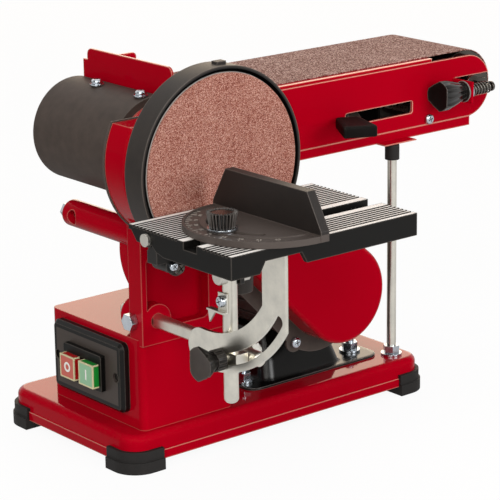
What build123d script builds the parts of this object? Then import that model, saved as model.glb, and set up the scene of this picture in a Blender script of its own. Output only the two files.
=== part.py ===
from build123d import *
import math
import os

os.makedirs("parts", exist_ok=True)

# Belt and disc sander. Every place below is measured in millimetres from the centre of
# the sanding disc's face: x to the right, y to the back, z up.
# The three values here set that point in the part's own frame, on the floor's plane.
disc_x = -146.5
disc_y = -51.5
spindle_height = 266

# Fits
gap = 0.3
run = 0.05
sheet = 2
screw_r = 2.5
screw_head_r = 4.5
screw_head = 2.6
nut_flats = 8
nut_high = 4
washer_r = 9.6
spare = 1

# Pressed base tray and its rubber corner feet
tray_left = -53.5
tray_length = 330.5
tray_front = 60
tray_depth = 180
tray_height = 24
tray_corner = 18
tray_edge = 6
tray_bead = 1.2
tray_bead_height = 8
foot_under = 8
foot_height = 19
foot_leg = 31
foot_proud = 3.5
foot_step = 1.5
foot_step_height = 10

# Cast pedestal
box_left = -34.5
box_length = 96
box_front = 68.5
box_depth = 129.5
box_height = 79
wall = 5
cast_round = 3
upright_front = 67
upright_depth = 17.5
upright_left = -34
shoulder = -105
window_left = -28.5
window_right = 35.4
window_low = -147
window_high = -84.5
window_deep = 11
head_r = 40
head_front = 64
head_depth = 16
boss_r = 28
boss_depth = 11.5
holder_length = 95
holder_r = 11.5
holder_hole_y = 164
holder_z = -69
gusset_width = 12
gusset_reach = 19
gusset_low = -118
gland_flats = 26
gland_r = 9.75
gland_long = 10
gland_collar = 4

# Table carrier: round rod in the pedestal, post, yoke
rod_r = 6
rod_x = -18.4
rod_z = -139.8
rod_front = -66
rod_back = 112
rod_boss_r = 14
rod_boss_depth = 32
post_y = -44
post_high = -60
post_low = -178
post_round = 4.2
rod_edge = 1
clamp_y = 79
bolt_r = 4
bolt_flats = 13
bolt_head = 7

# Tilting table
table_left = -95
table_length = 185
table_rear = -2
table_depth = 124.5
table_top = -29
table_plate = 3.8
apron = 18
apron_wall = 4
apron_cut = ((10, 12), (15, 12), (27, 10), (34, 15.4), (43, 18))
apron_notch_left = -73
apron_notch_right = -17
apron_notch_depth = 9
apron_notch_slope = 60
tilt_y = -25
tilt_drop = 8
pivot_r = 2
pivot_head_r = 5
pivot_head = 3
ear = 3.6
ear_width = 12
yoke_low = -57
yoke_bar = 10
slot_y = -78
slot_width = 16
slot_depth = 6
slot_floor = 3
groove_pitch = 4.4
groove_width = 2.2
groove_depth = 1.2
quadrant_sheet = 3
quadrant_slot = 10
quadrant_outer = 11
quadrant_inner = 20.5
quadrant_arm = 27
quadrant_sweep = 45
quadrant_over = 2
quadrant_flange = 20
lock_knob_r = 17
lock_knob_long = 22
lock_knob_neck = 4
lock_stud_over = 3
lobe_root = (0.86, 0.34)
lobe_face = (1.22, 0.48)
lobe_collar = 0.5
pointer_sheet = 1.5
clamp_long = 28
clamp_high = 11
lug_sheet = 4
yoke_bolt_r = 6.5
yoke_bolt_z = -73
yoke_boss_x = -76
yoke_boss_r = 6
pointer_screw_z = -93
rod_flat_front = -30
rod_flat = 1
pointer_drop = 8
pointer_foot = (11, 16)
pointer_shelf = 21
pointer_tip = ((4, 0), (14, 0), (12, 11))
quadrant_tail = 4
quadrant_screw_spots = ((-27, -101), (-27, -115))

# Mitre gauge
mitre_x = -22
mitre_bar_left = -80
mitre_bar_length = 92
mitre_r = 63.6
mitre_thick = 5
fence_thick = 8
fence_high = 36
fence_long = 128
fence_slant = 16
knob_reach = 42
mitre_swing = 45
mitre_knob_r = 12
mitre_knob_high = 14
mitre_band = 13
mitre_band_drop = 1.2
mitre_pin_r = 4
stud_r = 3
fence_foot = 8
mitre_rim = 2
swing_over = 1
mitre_knob_foot = (9.6, 2)
knurls = 24
knurl_r = 0.84
bar_edge = 1
pin_cover = 1
bar_play = 0.2

# Push-button switch
switch_y = 136
switch_drop = 36.5
switch_long = 100
switch_high = 61
switch_thick = 8
bezel_long = 54
switch_bevel = 3
bezel_high = 32
bezel_proud = 5
button_long = 20
button_high = 20
button_pitch = 27
button_proud = 6
button_drop = 2
button_travel = 3
button_corner = 1
button_edge = 0.8
switch_screw_reach = (-41, 42)
switch_screw_slot = 1

# Motor, its mount and the belt drive
motor_x = 162
motor_z = -148
motor_r = 50
motor_front = 64
motor_length = 136
motor_cap = 24
mount_left = 94
mount_length = 152
mount_front = 84
mount_depth = 110
saddle_over = 6
stud_left = 10
stud_right = 16
stud_front = 24
stud_back = 20
stud_over = 5
motor_fins = 24
fin_gap = 2.4
fin_deep = 1.5
fan_rings = ((15, 9), (25, 15), (35, 21))
fan_slot_long = 6
fan_slot_wide = 3
shaft_over = 2
shaft_in = 30
saddle_foot = (91, 96)
saddle_crown = (73, 64)
motor_shaft_r = 6
pulley_front = 40
pulley_wide = 16
motor_pulley_r = 13.5
driven_pulley_r = 27
drive_belt_wide = 10
drive_belt_thick = 3

# Pulley cover, its back plate and the disc guard
cover_front = 35
cover_rear = 62
cover_head_r = 70
cover_neck_r = 36
cover_end_r = 43.5
cover_flat = 34
cover_round = 4
cover_blend = 12
plate_end_r = 50
plate_end_shift = 9
plate_over = 1
plate_tab = (37, 41)
plate_screw_r = 4.6
plate_screw_head = 3
plate_screw_over = 5
disc_r = 75
disc_plate = 8
grit = 1
disc_hub_r = 14
disc_hub = 11
disc_edge = 0.6
guard_gap = 2.5
guard_wall = 2.5
guard_deep = 22
guard_seat_r = 44
chute_x = 25
chute_y = 13
chute_wide = 14
chute_deep = 11
chute_low = -111
chute_taper = 0.86
chute_root = 12
guard_tab = (9, 7, 3)
guard_tab_x = 6
guard_screw_deep = 8
guard_screw_ring = 35
guard_seat_wide = 14
lug_screw_r = 5
lug_screw_head = 3.2
lug_screw_over = 5
lug_screw_drop = 1
lug_angle = 247.6
lug_reach = 6.5
lug_r = 8

# Spindle, bearings and drum
spindle_r = 8
bearing_r = 16
bearing_wide = 10
bearing_inset = 1
drum_hub_inset = 4
drum_r = 31
drum_front = 92
belt_front = 95
belt_wide = 100
belt_thick = 0.8
drum_over = 3

# Belt arm
centres = 358.9
arm_front = 86
arm_sheet = 2.5
arm_top_drop = 2.5
arm_bottom_rise = 3
arm_root_r = 36
arm_end = 4
platen_left = 45
platen_end = 46.9
platen_thick = 2
web_rise = 5
bottom_flange = 70
guard_under = 5.5
lip_long = 38
lip_deep = 12
lip_shift = 5
guard_left = 34
guard_end = 0.9
hood_over = 13
hood_drop = 2
hood_lip = 8
hood_back = 201
end_slot_long = 19.9
end_slot_high = 19.5
arm_screw_end = (53.3, -23)
arm_screw_root = (60, -18)
lever_slot_in = 112.9
lever_slot_z = -9
lever_slot_long = 80
lever_slot_high = 11
lever_slot_corner = 2
track_tab_half = 10
bracket_wide = 34
platen_inset = 1
stop_washer_r = 6
stop_washer = 1.2
lever_pivot_y = 131
lever_swing = 34
lever_thick = 6
lever_reach = 105
lever_grip = 44
lever_grip_wide = 26
lever_grip_neck = 20
lever_grip_lip = 1.5
lever_tongue = 90
lever_arm_wide = 10
lever_hub = 10.5
lever_cam = 5
lever_lead = 15
pin_r = 3

# Idler roller, its fork, the tension spring and the tracking screw
idler_axle_r = 6
fork_sheet = 3
fork_high = 24
fork_reach = 40.9
stem_r = 5
tension_wire = 1.6
tension_coil_r = 8.4
tension_turns = 5
bracket_in = 88.9
bracket_sheet = 3
track_y = 72
track_screw_r = 3
track_knob_r = 16
track_knob_long = 32
track_washer_r = 9.3
track_wire = 1.4
track_coil_r = 5
track_turns = 7
track_nose_out = 9.1
track_nose = 10
track_nose_r = 5
track_link = 4
track_link_long = 30
track_link_high = 20
track_knob_neck = 6
track_screw_over = 10
idler_inset = 0.5
cam_gap = 0.4

# Work stop on the hood, and the rod that props the arm
stop_x = 10
stop_front = 77.4
stop_long = 123.6
stop_sink = 6
stop_rise = 24
stop_return = 50
stop_return_drop = 10
stop_step = 6
stop_tab = 12
stop_tab_screws = (97, 158)
stop_screw_x = -7
prop_inset = 21
prop_y = 80
prop_r = 4.2
prop_nut_r = 5.9
cap_r = 6.5
cap_long = 14

# Worked-out levels and places
floor = -spindle_height
tray_low = floor + foot_under
tray_top = tray_low + tray_height
tray_mid = (tray_left + tray_length / 2, tray_front + tray_depth / 2)
box_top = tray_top + box_height
upright_back = upright_front + upright_depth
tilt_z = table_top - tilt_drop
slot_mean = math.hypot(post_y - tilt_y, rod_z - tilt_z)
lock_angle = math.degrees(math.atan2(tilt_y - post_y, tilt_z - rod_z))
guard_r = disc_r + guard_gap + guard_wall
lug_x = (guard_r + lug_reach) * math.cos(math.radians(lug_angle))
lug_z = (guard_r + lug_reach) * math.sin(math.radians(lug_angle))
switch_z = box_top - switch_drop
mount_rise = motor_z - motor_r + saddle_over - tray_top
post_x = rod_x - 2 * rod_r - gap
quadrant_x = post_x - rod_r - gap - quadrant_sheet
arm_high = drum_r - arm_top_drop
arm_low = arm_bottom_rise - drum_r
web_low = web_rise - drum_r
guard_low = -drum_r - guard_under
hood_r = drum_r + hood_over
hood_top = hood_r - hood_drop
stop_low = hood_top - stop_sink
stop_high = hood_top + stop_rise
platen_right = centres - platen_end
guard_right = centres - guard_end
end_slot_left = centres - end_slot_long
arm_screw_spots = ((centres - arm_screw_end[0], arm_screw_end[1]), arm_screw_root)
lever_slot_x = centres - lever_slot_in
fork_cross = centres - fork_reach
bracket_x = centres - bracket_in
track_nose_x = centres + track_nose_out
prop_x = tray_left + tray_length - prop_inset
arm_back = arm_front + arm_sheet
belt_back = belt_front + belt_wide
drum_long = belt_wide + 2 * drum_over
boss_back = head_front + head_depth + boss_depth
bearing_front = head_front + bearing_inset
bearing_back = boss_back - bearing_wide
table_front = table_rear - table_depth
table_right = table_left + table_length
slot_low = table_top - slot_depth
fork_front = belt_front - gap - fork_sheet
fork_rear = belt_back + sheet
track_link_y = arm_front - gap


def front(y, x=0, z=0):
    """A sketch plane seen from the front: sketch x is the part's x, sketch y its z."""
    return Plane((disc_x + x, disc_y + y, spindle_height + z), x_dir=(1, 0, 0), z_dir=(0, -1, 0))


def side(x, y=0, z=0):
    """A sketch plane seen from the right: sketch x is the part's y, sketch y its z."""
    return Plane((disc_x + x, disc_y + y, spindle_height + z), x_dir=(0, 1, 0), z_dir=(1, 0, 0))


def top(z, x=0, y=0):
    """A sketch plane seen from above."""
    return Plane((disc_x + x, disc_y + y, spindle_height + z))


def bar(plane, radius, length, bore=0, mode=Mode.ADD):
    """A round bar or tube standing on a plane; a negative length goes behind it."""
    with BuildSketch(plane) as section:
        Circle(radius)
        if bore:
            Circle(bore, mode=Mode.SUBTRACT)
    extrude(section.sketch, amount=length, mode=mode)


def hexagon(plane, flats, length):
    """A hexagonal head or nut standing on a plane."""
    with BuildSketch(plane) as section:
        RegularPolygon(flats / 2, 6, major_radius=False)
    extrude(section.sketch, amount=length)


def strip(plane, width, height, length, mode=Mode.ADD):
    """A rectangular bar standing on a plane, centred on its origin."""
    with BuildSketch(plane) as section:
        Rectangle(width, height)
    extrude(section.sketch, amount=length, mode=mode)


def strap(start_r, end_r, end, mode=Mode.ADD):
    """The outline of a belt round two discs, the first at the sketch's origin."""
    reach = math.hypot(*end)
    heading = math.atan2(end[1], end[0])
    spread = math.acos((start_r - end_r) / reach)
    corners = []
    for centre, radius, turn in (((0, 0), start_r, spread), (end, end_r, spread),
                                 (end, end_r, -spread), ((0, 0), start_r, -spread)):
        angle = heading + turn
        corners.append((centre[0] + radius * math.cos(angle), centre[1] + radius * math.sin(angle)))
    Circle(start_r, mode=mode)
    with Locations(end):
        Circle(end_r, mode=mode)
    Polygon(*corners, align=None, mode=mode)


def coil(start, axis, across, radius, length, turns, wire):
    """A compression spring on quarter-turn biarcs, its ends straight and square to their seats."""
    over = axis.cross(across)
    quarters = turns * 4
    lift = wire / 2
    rise = (length - 2 * (wire + lift)) / quarters
    slope = math.pi / 2 * radius / rise
    nodes = []
    for quarter in range(quarters + 1):
        out = across * math.cos(quarter * math.pi / 2) + over * math.sin(quarter * math.pi / 2)
        along = axis.cross(out) * slope + axis
        climb = wire + lift + quarter * rise
        if quarter == 0:
            climb, along = wire, axis
        if quarter == quarters:
            climb, along = length - wire, axis
        nodes.append((start + out * radius + axis * climb, along.normalized()))
    with BuildPart() as spring:
        with BuildLine() as path:
            Line(nodes[0][0] - axis * wire, nodes[0][0])
            for (here, heading), (there, aim) in zip(nodes, nodes[1:]):
                middle = biarc_joint(here, heading, there, aim)
                TangentArc(here, middle, tangent=heading)
                TangentArc(middle, there, tangent=turned(here, heading, middle))
            Line(nodes[-1][0], nodes[-1][0] + axis * wire)
        with BuildSketch(Plane(nodes[0][0] - axis * wire, z_dir=axis)):
            Circle(wire / 2)
        sweep()
    tube = path.wires()[0]
    print("spring of", turns, "turns, least gap", round(least_gap(tube, turns, wire), 2))
    return spring


def biarc_joint(here, heading, there, aim):
    """Where two arcs meet that leave and arrive along the given directions, with equal handles."""
    across = there - here
    lean = across.dot(heading + aim)
    bend = 2 * (1 - heading.dot(aim))
    handle = (math.sqrt(lean * lean + bend * across.dot(across)) - lean) / bend
    return (here + heading * handle + there - aim * handle) * 0.5


def turned(here, heading, there):
    """The direction in which an arc arrives that left along a heading."""
    chord = (there - here).normalized()
    return (chord * (2 * chord.dot(heading)) - heading).normalized()


def least_gap(tube, turns, wire):
    """The least clear distance of a coiled tube to itself, more than half a turn apart."""
    count = turns * 32
    points = [tube @ (step / count) for step in range(count + 1)]
    apart = count // turns // 2
    return min((a - b).length for i, a in enumerate(points) for b in points[i + apart:]) - wire


# Base tray: one pressed sheet, open below, with a rounded rim and a bead along its foot
with BuildPart() as tray_inside:
    with BuildSketch(top(tray_low, *tray_mid)):
        RectangleRounded(tray_length - 2 * sheet, tray_depth - 2 * sheet, tray_corner - sheet)
    extrude(amount=tray_height - sheet)
    fillet(tray_inside.faces().sort_by(Axis.Z)[-1].edges(), tray_edge - sheet)

mount_studs = [(x, y) for x in (mount_left + stud_left, mount_left + mount_length - stud_right)
               for y in (mount_front + stud_front, mount_front + mount_depth - stud_back)]

with BuildPart() as base_tray:
    with BuildSketch(top(tray_low, *tray_mid)):
        RectangleRounded(tray_length, tray_depth, tray_corner)
    extrude(amount=tray_height)
    fillet(base_tray.faces().sort_by(Axis.Z)[-1].edges(), tray_edge)
    with BuildSketch(top(tray_low, *tray_mid)):
        RectangleRounded(tray_length + 2 * tray_bead, tray_depth + 2 * tray_bead, tray_corner + tray_bead)
    extrude(amount=tray_bead_height)
    add(tray_inside.part, mode=Mode.SUBTRACT)
    for x, y in mount_studs:
        bar(top(tray_top, x, y), bolt_r, -2 * sheet, mode=Mode.SUBTRACT)
    bar(top(tray_top, prop_x, prop_y), prop_r, -2 * sheet, mode=Mode.SUBTRACT)

# Rubber feet: a stepped corner block under and round each corner of the tray
with BuildPart() as rubber_feet:
    for proud, height in ((foot_proud + foot_step, foot_step_height), (foot_proud, foot_height)):
        wide = tray_length + 2 * proud
        deep = tray_depth + 2 * proud
        leg = foot_leg + proud
        with BuildSketch(top(floor, *tray_mid)):
            RectangleRounded(wide, deep, tray_corner + proud)
            Rectangle(wide - 2 * leg, deep, mode=Mode.SUBTRACT)
            Rectangle(wide, deep - 2 * leg, mode=Mode.SUBTRACT)
        extrude(amount=height)
    with BuildSketch(top(tray_low, *tray_mid)):
        RectangleRounded(tray_length + 2 * tray_bead, tray_depth + 2 * tray_bead, tray_corner + tray_bead)
    extrude(amount=tray_bead_height, mode=Mode.SUBTRACT)
    with BuildSketch(top(tray_low, *tray_mid)):
        RectangleRounded(tray_length, tray_depth, tray_corner)
    extrude(amount=tray_height, mode=Mode.SUBTRACT)

# Pedestal: a box for the switch, an open-fronted upright, the spindle head and a side arm
# with a cross hole that takes the table's rod when the belt is used upright
box_mid = (box_left + box_length / 2, box_front + box_depth / 2)
box_right = box_left + box_length
holder_x = upright_left + holder_r + gap
holder_end = upright_back + holder_length

with BuildPart() as pedestal:
    with BuildSketch(front(upright_front)):
        with BuildLine():
            Polyline((upright_left, box_top - wall), (box_right, box_top - wall), (box_right, shoulder),
                     (head_r - spare, 0), (head_r - spare, -boss_r), (upright_left, -boss_r), close=True)
        make_face()
        Circle(boss_r, mode=Mode.SUBTRACT)
    extrude(amount=-upright_depth)
    with BuildSketch(top(tray_top, *box_mid)):
        RectangleRounded(box_length, box_depth, 2 * cast_round)
    extrude(amount=box_height)
    bar(front(head_front), head_r, -head_depth)
    bar(front(head_front), boss_r, -head_depth - boss_depth)
    bar(front(upright_front, holder_x, holder_z), holder_r, -(holder_end - upright_front))
    holder_faces = pedestal.faces().filter_by(Plane.XZ)
    holder_tip = holder_faces.sort_by(lambda face: abs(face.center().Y - disc_y - holder_end))[0]
    fillet(holder_tip.edges(), cast_round)
    with BuildSketch(side(holder_x - gusset_width / 2)):
        with BuildLine():
            gusset_top = Line((upright_back, holder_z), (upright_back + gusset_reach, holder_z))
            gusset_tip = Line(gusset_top @ 1, (upright_back + gusset_reach, holder_z - holder_r))
            gusset_arc = RadiusArc(gusset_tip @ 1, (upright_back, gusset_low), 2 * gusset_reach)
            Line(gusset_arc @ 1, gusset_top @ 0)
        make_face()
    extrude(amount=gusset_width)
    with BuildSketch(front(upright_front)):
        with Locations(((window_left + window_right) / 2, (window_low + window_high) / 2)):
            RectangleRounded(window_right - window_left, window_high - window_low, 2 * cast_round)
    extrude(amount=-window_deep, mode=Mode.SUBTRACT)
    bar(front(upright_front, rod_x, rod_z), rod_boss_r, -rod_boss_depth)
    bar(front(upright_front, rod_x, rod_z), rod_r + run, -rod_boss_depth, mode=Mode.SUBTRACT)
    with BuildSketch(top(tray_top, *box_mid)):
        RectangleRounded(box_length - 2 * wall, box_depth - 2 * wall, cast_round)
    extrude(amount=box_height - wall, mode=Mode.SUBTRACT)
    bar(side(holder_x - holder_r, holder_hole_y, holder_z), rod_r + run, 2 * holder_r, mode=Mode.SUBTRACT)
    bar(side(upright_left, clamp_y, rod_z), bolt_r, rod_x - rod_r - upright_left, mode=Mode.SUBTRACT)
    bar(front(holder_end, holder_x, holder_z), bolt_r, holder_end - holder_hole_y - rod_r,
        mode=Mode.SUBTRACT)
    bar(front(head_front), bearing_r, -boss_back + head_front, mode=Mode.SUBTRACT)
    bar(front(bearing_front + bearing_wide), bearing_r, -(bearing_back - bearing_front - bearing_wide),
        bore=spindle_r + sheet)

# Hex bolts that clamp the table's rod in the pedestal and in the side arm
with BuildPart() as clamp_bolts:
    bar(side(upright_left, clamp_y, rod_z), bolt_r, rod_x - rod_r - upright_left - gap)
    hexagon(side(upright_left, clamp_y, rod_z), bolt_flats, -bolt_head)
    bar(front(holder_end, holder_x, holder_z), bolt_r, holder_end - holder_hole_y - rod_r - gap)
    hexagon(front(holder_end, holder_x, holder_z), bolt_flats, -bolt_head)

# Cable gland in the back of the pedestal
with BuildPart() as cable_gland:
    gland = front(box_front + box_depth, box_mid[0], tray_top + box_height / 3)
    hexagon(gland, gland_flats, -gland_collar)
    bar(gland, gland_r, -gland_long)
    bar(gland, bolt_r, -gland_long, mode=Mode.SUBTRACT)

# Switch: a moulded housing, a raised frame and two push buttons with their rims
switch_face = box_left - switch_thick
screw_spots = [switch_y + reach for reach in switch_screw_reach]
with BuildPart() as switch_housing:
    with BuildSketch(side(box_left, switch_y, switch_z)):
        RectangleRounded(switch_long, switch_high, 2 * cast_round)
    extrude(amount=-switch_thick)
    chamfer(switch_housing.faces().sort_by(Axis.X)[0].edges(), switch_bevel)
    with BuildSketch(side(switch_face, switch_y, switch_z)):
        Rectangle(bezel_long - 2 * sheet, bezel_high - 2 * sheet)
    extrude(amount=switch_thick - sheet, mode=Mode.SUBTRACT)
    for y in screw_spots:
        bar(side(switch_face, y, switch_z), bolt_r, switch_thick - sheet, mode=Mode.SUBTRACT)

with BuildPart() as switch_screws:
    for y in screw_spots:
        bar(side(switch_face + sheet, y, switch_z), bolt_r - gap, switch_thick - 2 * sheet)
        strip(side(switch_face + sheet, y, switch_z), switch_screw_slot, bolt_r, switch_screw_slot,
              mode=Mode.SUBTRACT)

with BuildPart() as switch_bezel:
    with BuildSketch(side(switch_face, switch_y, switch_z)):
        RectangleRounded(bezel_long, bezel_high, sheet)
        with Locations((-button_pitch / 2, -button_drop), (button_pitch / 2, -button_drop)):
            Rectangle(button_long + 2 * gap, button_high + 2 * gap, mode=Mode.SUBTRACT)
    extrude(amount=-bezel_proud)

buttons = {}
for label, place in (("stop_button", button_pitch / 2), ("start_button", -button_pitch / 2)):
    with BuildPart() as button:
        button_face = switch_face - bezel_proud - button_proud
        with BuildSketch(side(button_face, switch_y + place, switch_z - button_drop)):
            RectangleRounded(button_long, button_high, button_corner)
        extrude(amount=bezel_proud + button_proud + switch_thick - sheet - button_travel - gap)
        fillet(button.faces().sort_by(Axis.X)[0].edges(), button_edge)
    buttons[label] = button

# Motor: a round can with a stepped fan cap, held by a pressed mount on the tray
with BuildPart() as motor_housing:
    bar(front(motor_front, motor_x, motor_z), motor_r, -(motor_length - motor_cap))
    with BuildSketch(front(motor_front + motor_cap, motor_x, motor_z)):
        with PolarLocations(motor_r, motor_fins):
            Rectangle(2 * fin_deep, fin_gap)
    extrude(amount=-(motor_length - 3 * motor_cap), mode=Mode.SUBTRACT)
    bar(front(motor_front, motor_x, motor_z), motor_shaft_r + run, -motor_length / 3, mode=Mode.SUBTRACT)

with BuildPart() as motor_fan_cap:
    bar(front(motor_front + motor_length - motor_cap, motor_x, motor_z), motor_r + sheet, -motor_cap)
    fillet(motor_fan_cap.faces().sort_by(Axis.Y)[-1].edges(), 2 * cast_round)
    with BuildSketch(front(motor_front + motor_length, motor_x, motor_z)):
        for ring_r, slots in fan_rings:
            with PolarLocations(ring_r, slots):
                SlotOverall(fan_slot_long, fan_slot_wide, rotation=90)
    extrude(amount=motor_cap / 3, mode=Mode.SUBTRACT)

# The mount is pressed from one sheet: a flat foot with a hollow swelling up to the motor
saddle_mid = (motor_x, mount_front + mount_depth / 2)
saddle_levels = ((0, saddle_foot), (mount_rise, saddle_crown))
with BuildPart() as saddle_inside:
    for rise, (wide, deep) in saddle_levels:
        with BuildSketch(top(tray_top + rise - sheet, *saddle_mid)):
            RectangleRounded(wide - 2 * sheet, deep - 2 * sheet, 4 * sheet)
    loft()

with BuildPart() as saddle:
    for rise, (wide, deep) in saddle_levels:
        with BuildSketch(top(tray_top + rise, *saddle_mid)):
            RectangleRounded(wide, deep, 5 * sheet)
    loft()

with BuildPart() as motor_mount:
    with BuildSketch(top(tray_top, mount_left + mount_length / 2, saddle_mid[1])):
        RectangleRounded(mount_length, mount_depth, 2 * tray_edge)
    extrude(amount=sheet)
    add(saddle.part)
    add(saddle_inside.part, mode=Mode.SUBTRACT)
    bar(front(motor_front, motor_x, motor_z), motor_r, -motor_length, mode=Mode.SUBTRACT)
    for x, y in mount_studs:
        bar(top(tray_top, x, y), bolt_r, sheet, mode=Mode.SUBTRACT)

with BuildPart() as mount_bolts:
    for x, y in mount_studs:
        bar(top(tray_top - sheet, x, y), bolt_r, 2 * sheet + bolt_head + stud_over)
        bar(top(tray_top + sheet, x, y), washer_r, sheet, bore=bolt_r)
        hexagon(top(tray_top + 2 * sheet, x, y), bolt_flats, bolt_head)
        hexagon(top(tray_top - sheet, x, y), bolt_flats, -bolt_head / 2)

# Pulleys on the motor shaft and on the spindle, with the belt between them
def pulley(x, z, radius, bore):
    """A flanged pulley with a shallow belt groove."""
    bar(front(pulley_front, x, z), radius + drive_belt_thick, -pulley_wide, bore=bore)
    side_wall = (pulley_wide - drive_belt_wide) / 2 - gap
    bar(front(pulley_front + side_wall, x, z), radius + drive_belt_thick + spare,
        -pulley_wide + 2 * side_wall, bore=radius, mode=Mode.SUBTRACT)


with BuildPart() as motor_shaft:
    shaft_front = pulley_front - shaft_over
    bar(front(shaft_front, motor_x, motor_z), motor_shaft_r, -(motor_front + shaft_in - shaft_front))

with BuildPart() as motor_pulley:
    pulley(motor_x, motor_z, motor_pulley_r, motor_shaft_r)

with BuildPart() as driven_pulley:
    pulley(0, 0, driven_pulley_r, spindle_r)

with BuildPart() as drive_belt:
    with BuildSketch(front(pulley_front + (pulley_wide - drive_belt_wide) / 2)):
        outer = drive_belt_thick - gap
        strap(driven_pulley_r + outer, motor_pulley_r + outer, (motor_x, motor_z))
        strap(driven_pulley_r + gap, motor_pulley_r + gap, (motor_x, motor_z), mode=Mode.SUBTRACT)
    extrude(amount=-drive_belt_wide)

# Spindle with the disc at its front end and the drum at its back end
drum_end = drum_front + drum_long
drum_web = drum_front + drum_long / 2
drum_hub_end = drum_end - drum_hub_inset
with BuildPart() as spindle:
    spindle_front = disc_plate / 2 + grit
    bar(front(spindle_front), spindle_r, -(drum_hub_end - spindle_front))

with BuildPart() as spindle_bearings:
    for y in (bearing_front, bearing_back):
        bar(front(y), bearing_r, -bearing_wide, bore=spindle_r + run)

with BuildPart() as disc_back:
    bar(front(grit), disc_r, -disc_plate)
    chamfer(disc_back.faces().sort_by(Axis.Y)[0].edges(), disc_edge)
    bar(front(grit + disc_plate), disc_hub_r, -disc_hub)
    bar(front(grit + disc_plate / 2 - gap), spindle_r, -disc_plate - disc_hub, mode=Mode.SUBTRACT)

with BuildPart() as abrasive_disc:
    bar(front(0), disc_r - disc_edge, -grit)

with BuildPart() as drive_drum:
    with BuildSketch(side(0)):
        with BuildLine():
            Polyline((drum_front, spindle_r), (drum_front, drum_r), (drum_end, drum_r),
                     (drum_end, drum_r - wall), (drum_web, drum_r - wall), (drum_web, spindle_r + wall),
                     (drum_hub_end, spindle_r + wall), (drum_hub_end, spindle_r), close=True)
        make_face()
    revolve(axis=Axis((disc_x, disc_y, spindle_height), (0, 1, 0)))

# Disc guard: a shallow pan behind the disc with a dust chute and a fixing lug
def chute_loft(skin, high):
    """The tapering dust chute, or its hollow, from a level down to its mouth."""
    for level, share in ((high, 1), (chute_low, chute_taper)):
        with BuildSketch(top(level, chute_x, chute_y)) as section:
            Ellipse(chute_wide * share - skin, chute_deep * share - skin)
        yield section.sketch


guard_screws = []
for angle in range(45, 360, 90):
    turn = math.radians(angle)
    guard_screws.append((guard_screw_ring * math.cos(turn), guard_screw_ring * math.sin(turn)))
lug_screw = (lug_x, lug_z - lug_screw_drop)

with BuildPart() as chute:
    loft(list(chute_loft(0, -guard_r + chute_root)))
    bar(front(-spare), guard_r - guard_wall / 2, -guard_deep - 2 * spare, mode=Mode.SUBTRACT)

with BuildPart() as chute_hollow:
    loft(list(chute_loft(sheet, -guard_r + chute_root - sheet)))

with BuildPart() as disc_guard:
    bar(front(0), guard_r, -guard_deep)
    bar(front(0), guard_r - guard_wall, -guard_deep + guard_wall, mode=Mode.SUBTRACT)
    with BuildSketch(front(guard_deep - guard_wall)):
        with Locations((lug_x, lug_z)):
            Circle(lug_r)
        Circle(guard_r - spare, mode=Mode.SUBTRACT)
    extrude(amount=-guard_wall)
    add(chute.part)
    add(chute_hollow.part, mode=Mode.SUBTRACT)
    strip(top(guard_r - spare, guard_tab_x, guard_deep / 2), *guard_tab)
    bar(front(0), disc_hub_r + sheet, -guard_deep, mode=Mode.SUBTRACT)
    with BuildSketch(front(guard_deep)):
        with Locations(*guard_screws, lug_screw):
            Circle(screw_r)
    extrude(amount=guard_wall, mode=Mode.SUBTRACT)

# Pulley cover: a deep drawn shell with a flat top, and the plate that closes it behind
with BuildPart() as pulley_cover:
    for skin, mode in ((0, Mode.ADD), (sheet, Mode.SUBTRACT)):
        with BuildSketch(front(cover_rear)) as outline:
            strap(cover_neck_r - skin, cover_end_r - skin, (motor_x, motor_z))
            Circle(cover_head_r - skin)
            with Locations((0, cover_flat - skin + cover_head_r)):
                Rectangle(2 * cover_head_r, 2 * cover_head_r, mode=Mode.SUBTRACT)
            rim = [v for v in outline.vertices() if abs(Vector(v).length - cover_head_r + skin) < 0.01]
            fillet([v for v in rim if v.Y < 0 or v.X > v.Y * 3], cover_blend)
        extrude(amount=cover_rear - cover_front - skin, mode=mode)
        if skin == 0:
            fillet(pulley_cover.faces().sort_by(Axis.Y)[0].edges(), cover_round)
    bar(front(cover_front), guard_seat_r, cover_front - guard_deep, bore=guard_seat_r - guard_seat_wide)
    bar(front(cover_front - spare), disc_hub_r + sheet, -2 * sheet, mode=Mode.SUBTRACT)
    for at in guard_screws:
        bar(front(guard_deep, *at), screw_r, -guard_screw_deep, mode=Mode.SUBTRACT)

tab = (motor_x - plate_tab[0], motor_z - plate_tab[1])
with BuildPart() as cover_back_plate:
    with BuildSketch(front(cover_rear)):
        strap(cover_neck_r + plate_end_shift, plate_end_r,
              (motor_x - plate_end_shift, motor_z - plate_end_shift / 2))
        Circle(cover_head_r + plate_over)
        with Locations((0, cover_flat + plate_over + cover_head_r)):
            Rectangle(2 * (cover_head_r + plate_over), 2 * cover_head_r, mode=Mode.SUBTRACT)
        with Locations(tab):
            Circle(plate_end_shift)
        Circle(2 * spindle_r, mode=Mode.SUBTRACT)
        with Locations((motor_x, motor_z)):
            Circle(2 * motor_shaft_r, mode=Mode.SUBTRACT)
        with Locations(tab):
            Circle(screw_r, mode=Mode.SUBTRACT)
    extrude(amount=-(head_front - cover_rear))

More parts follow.
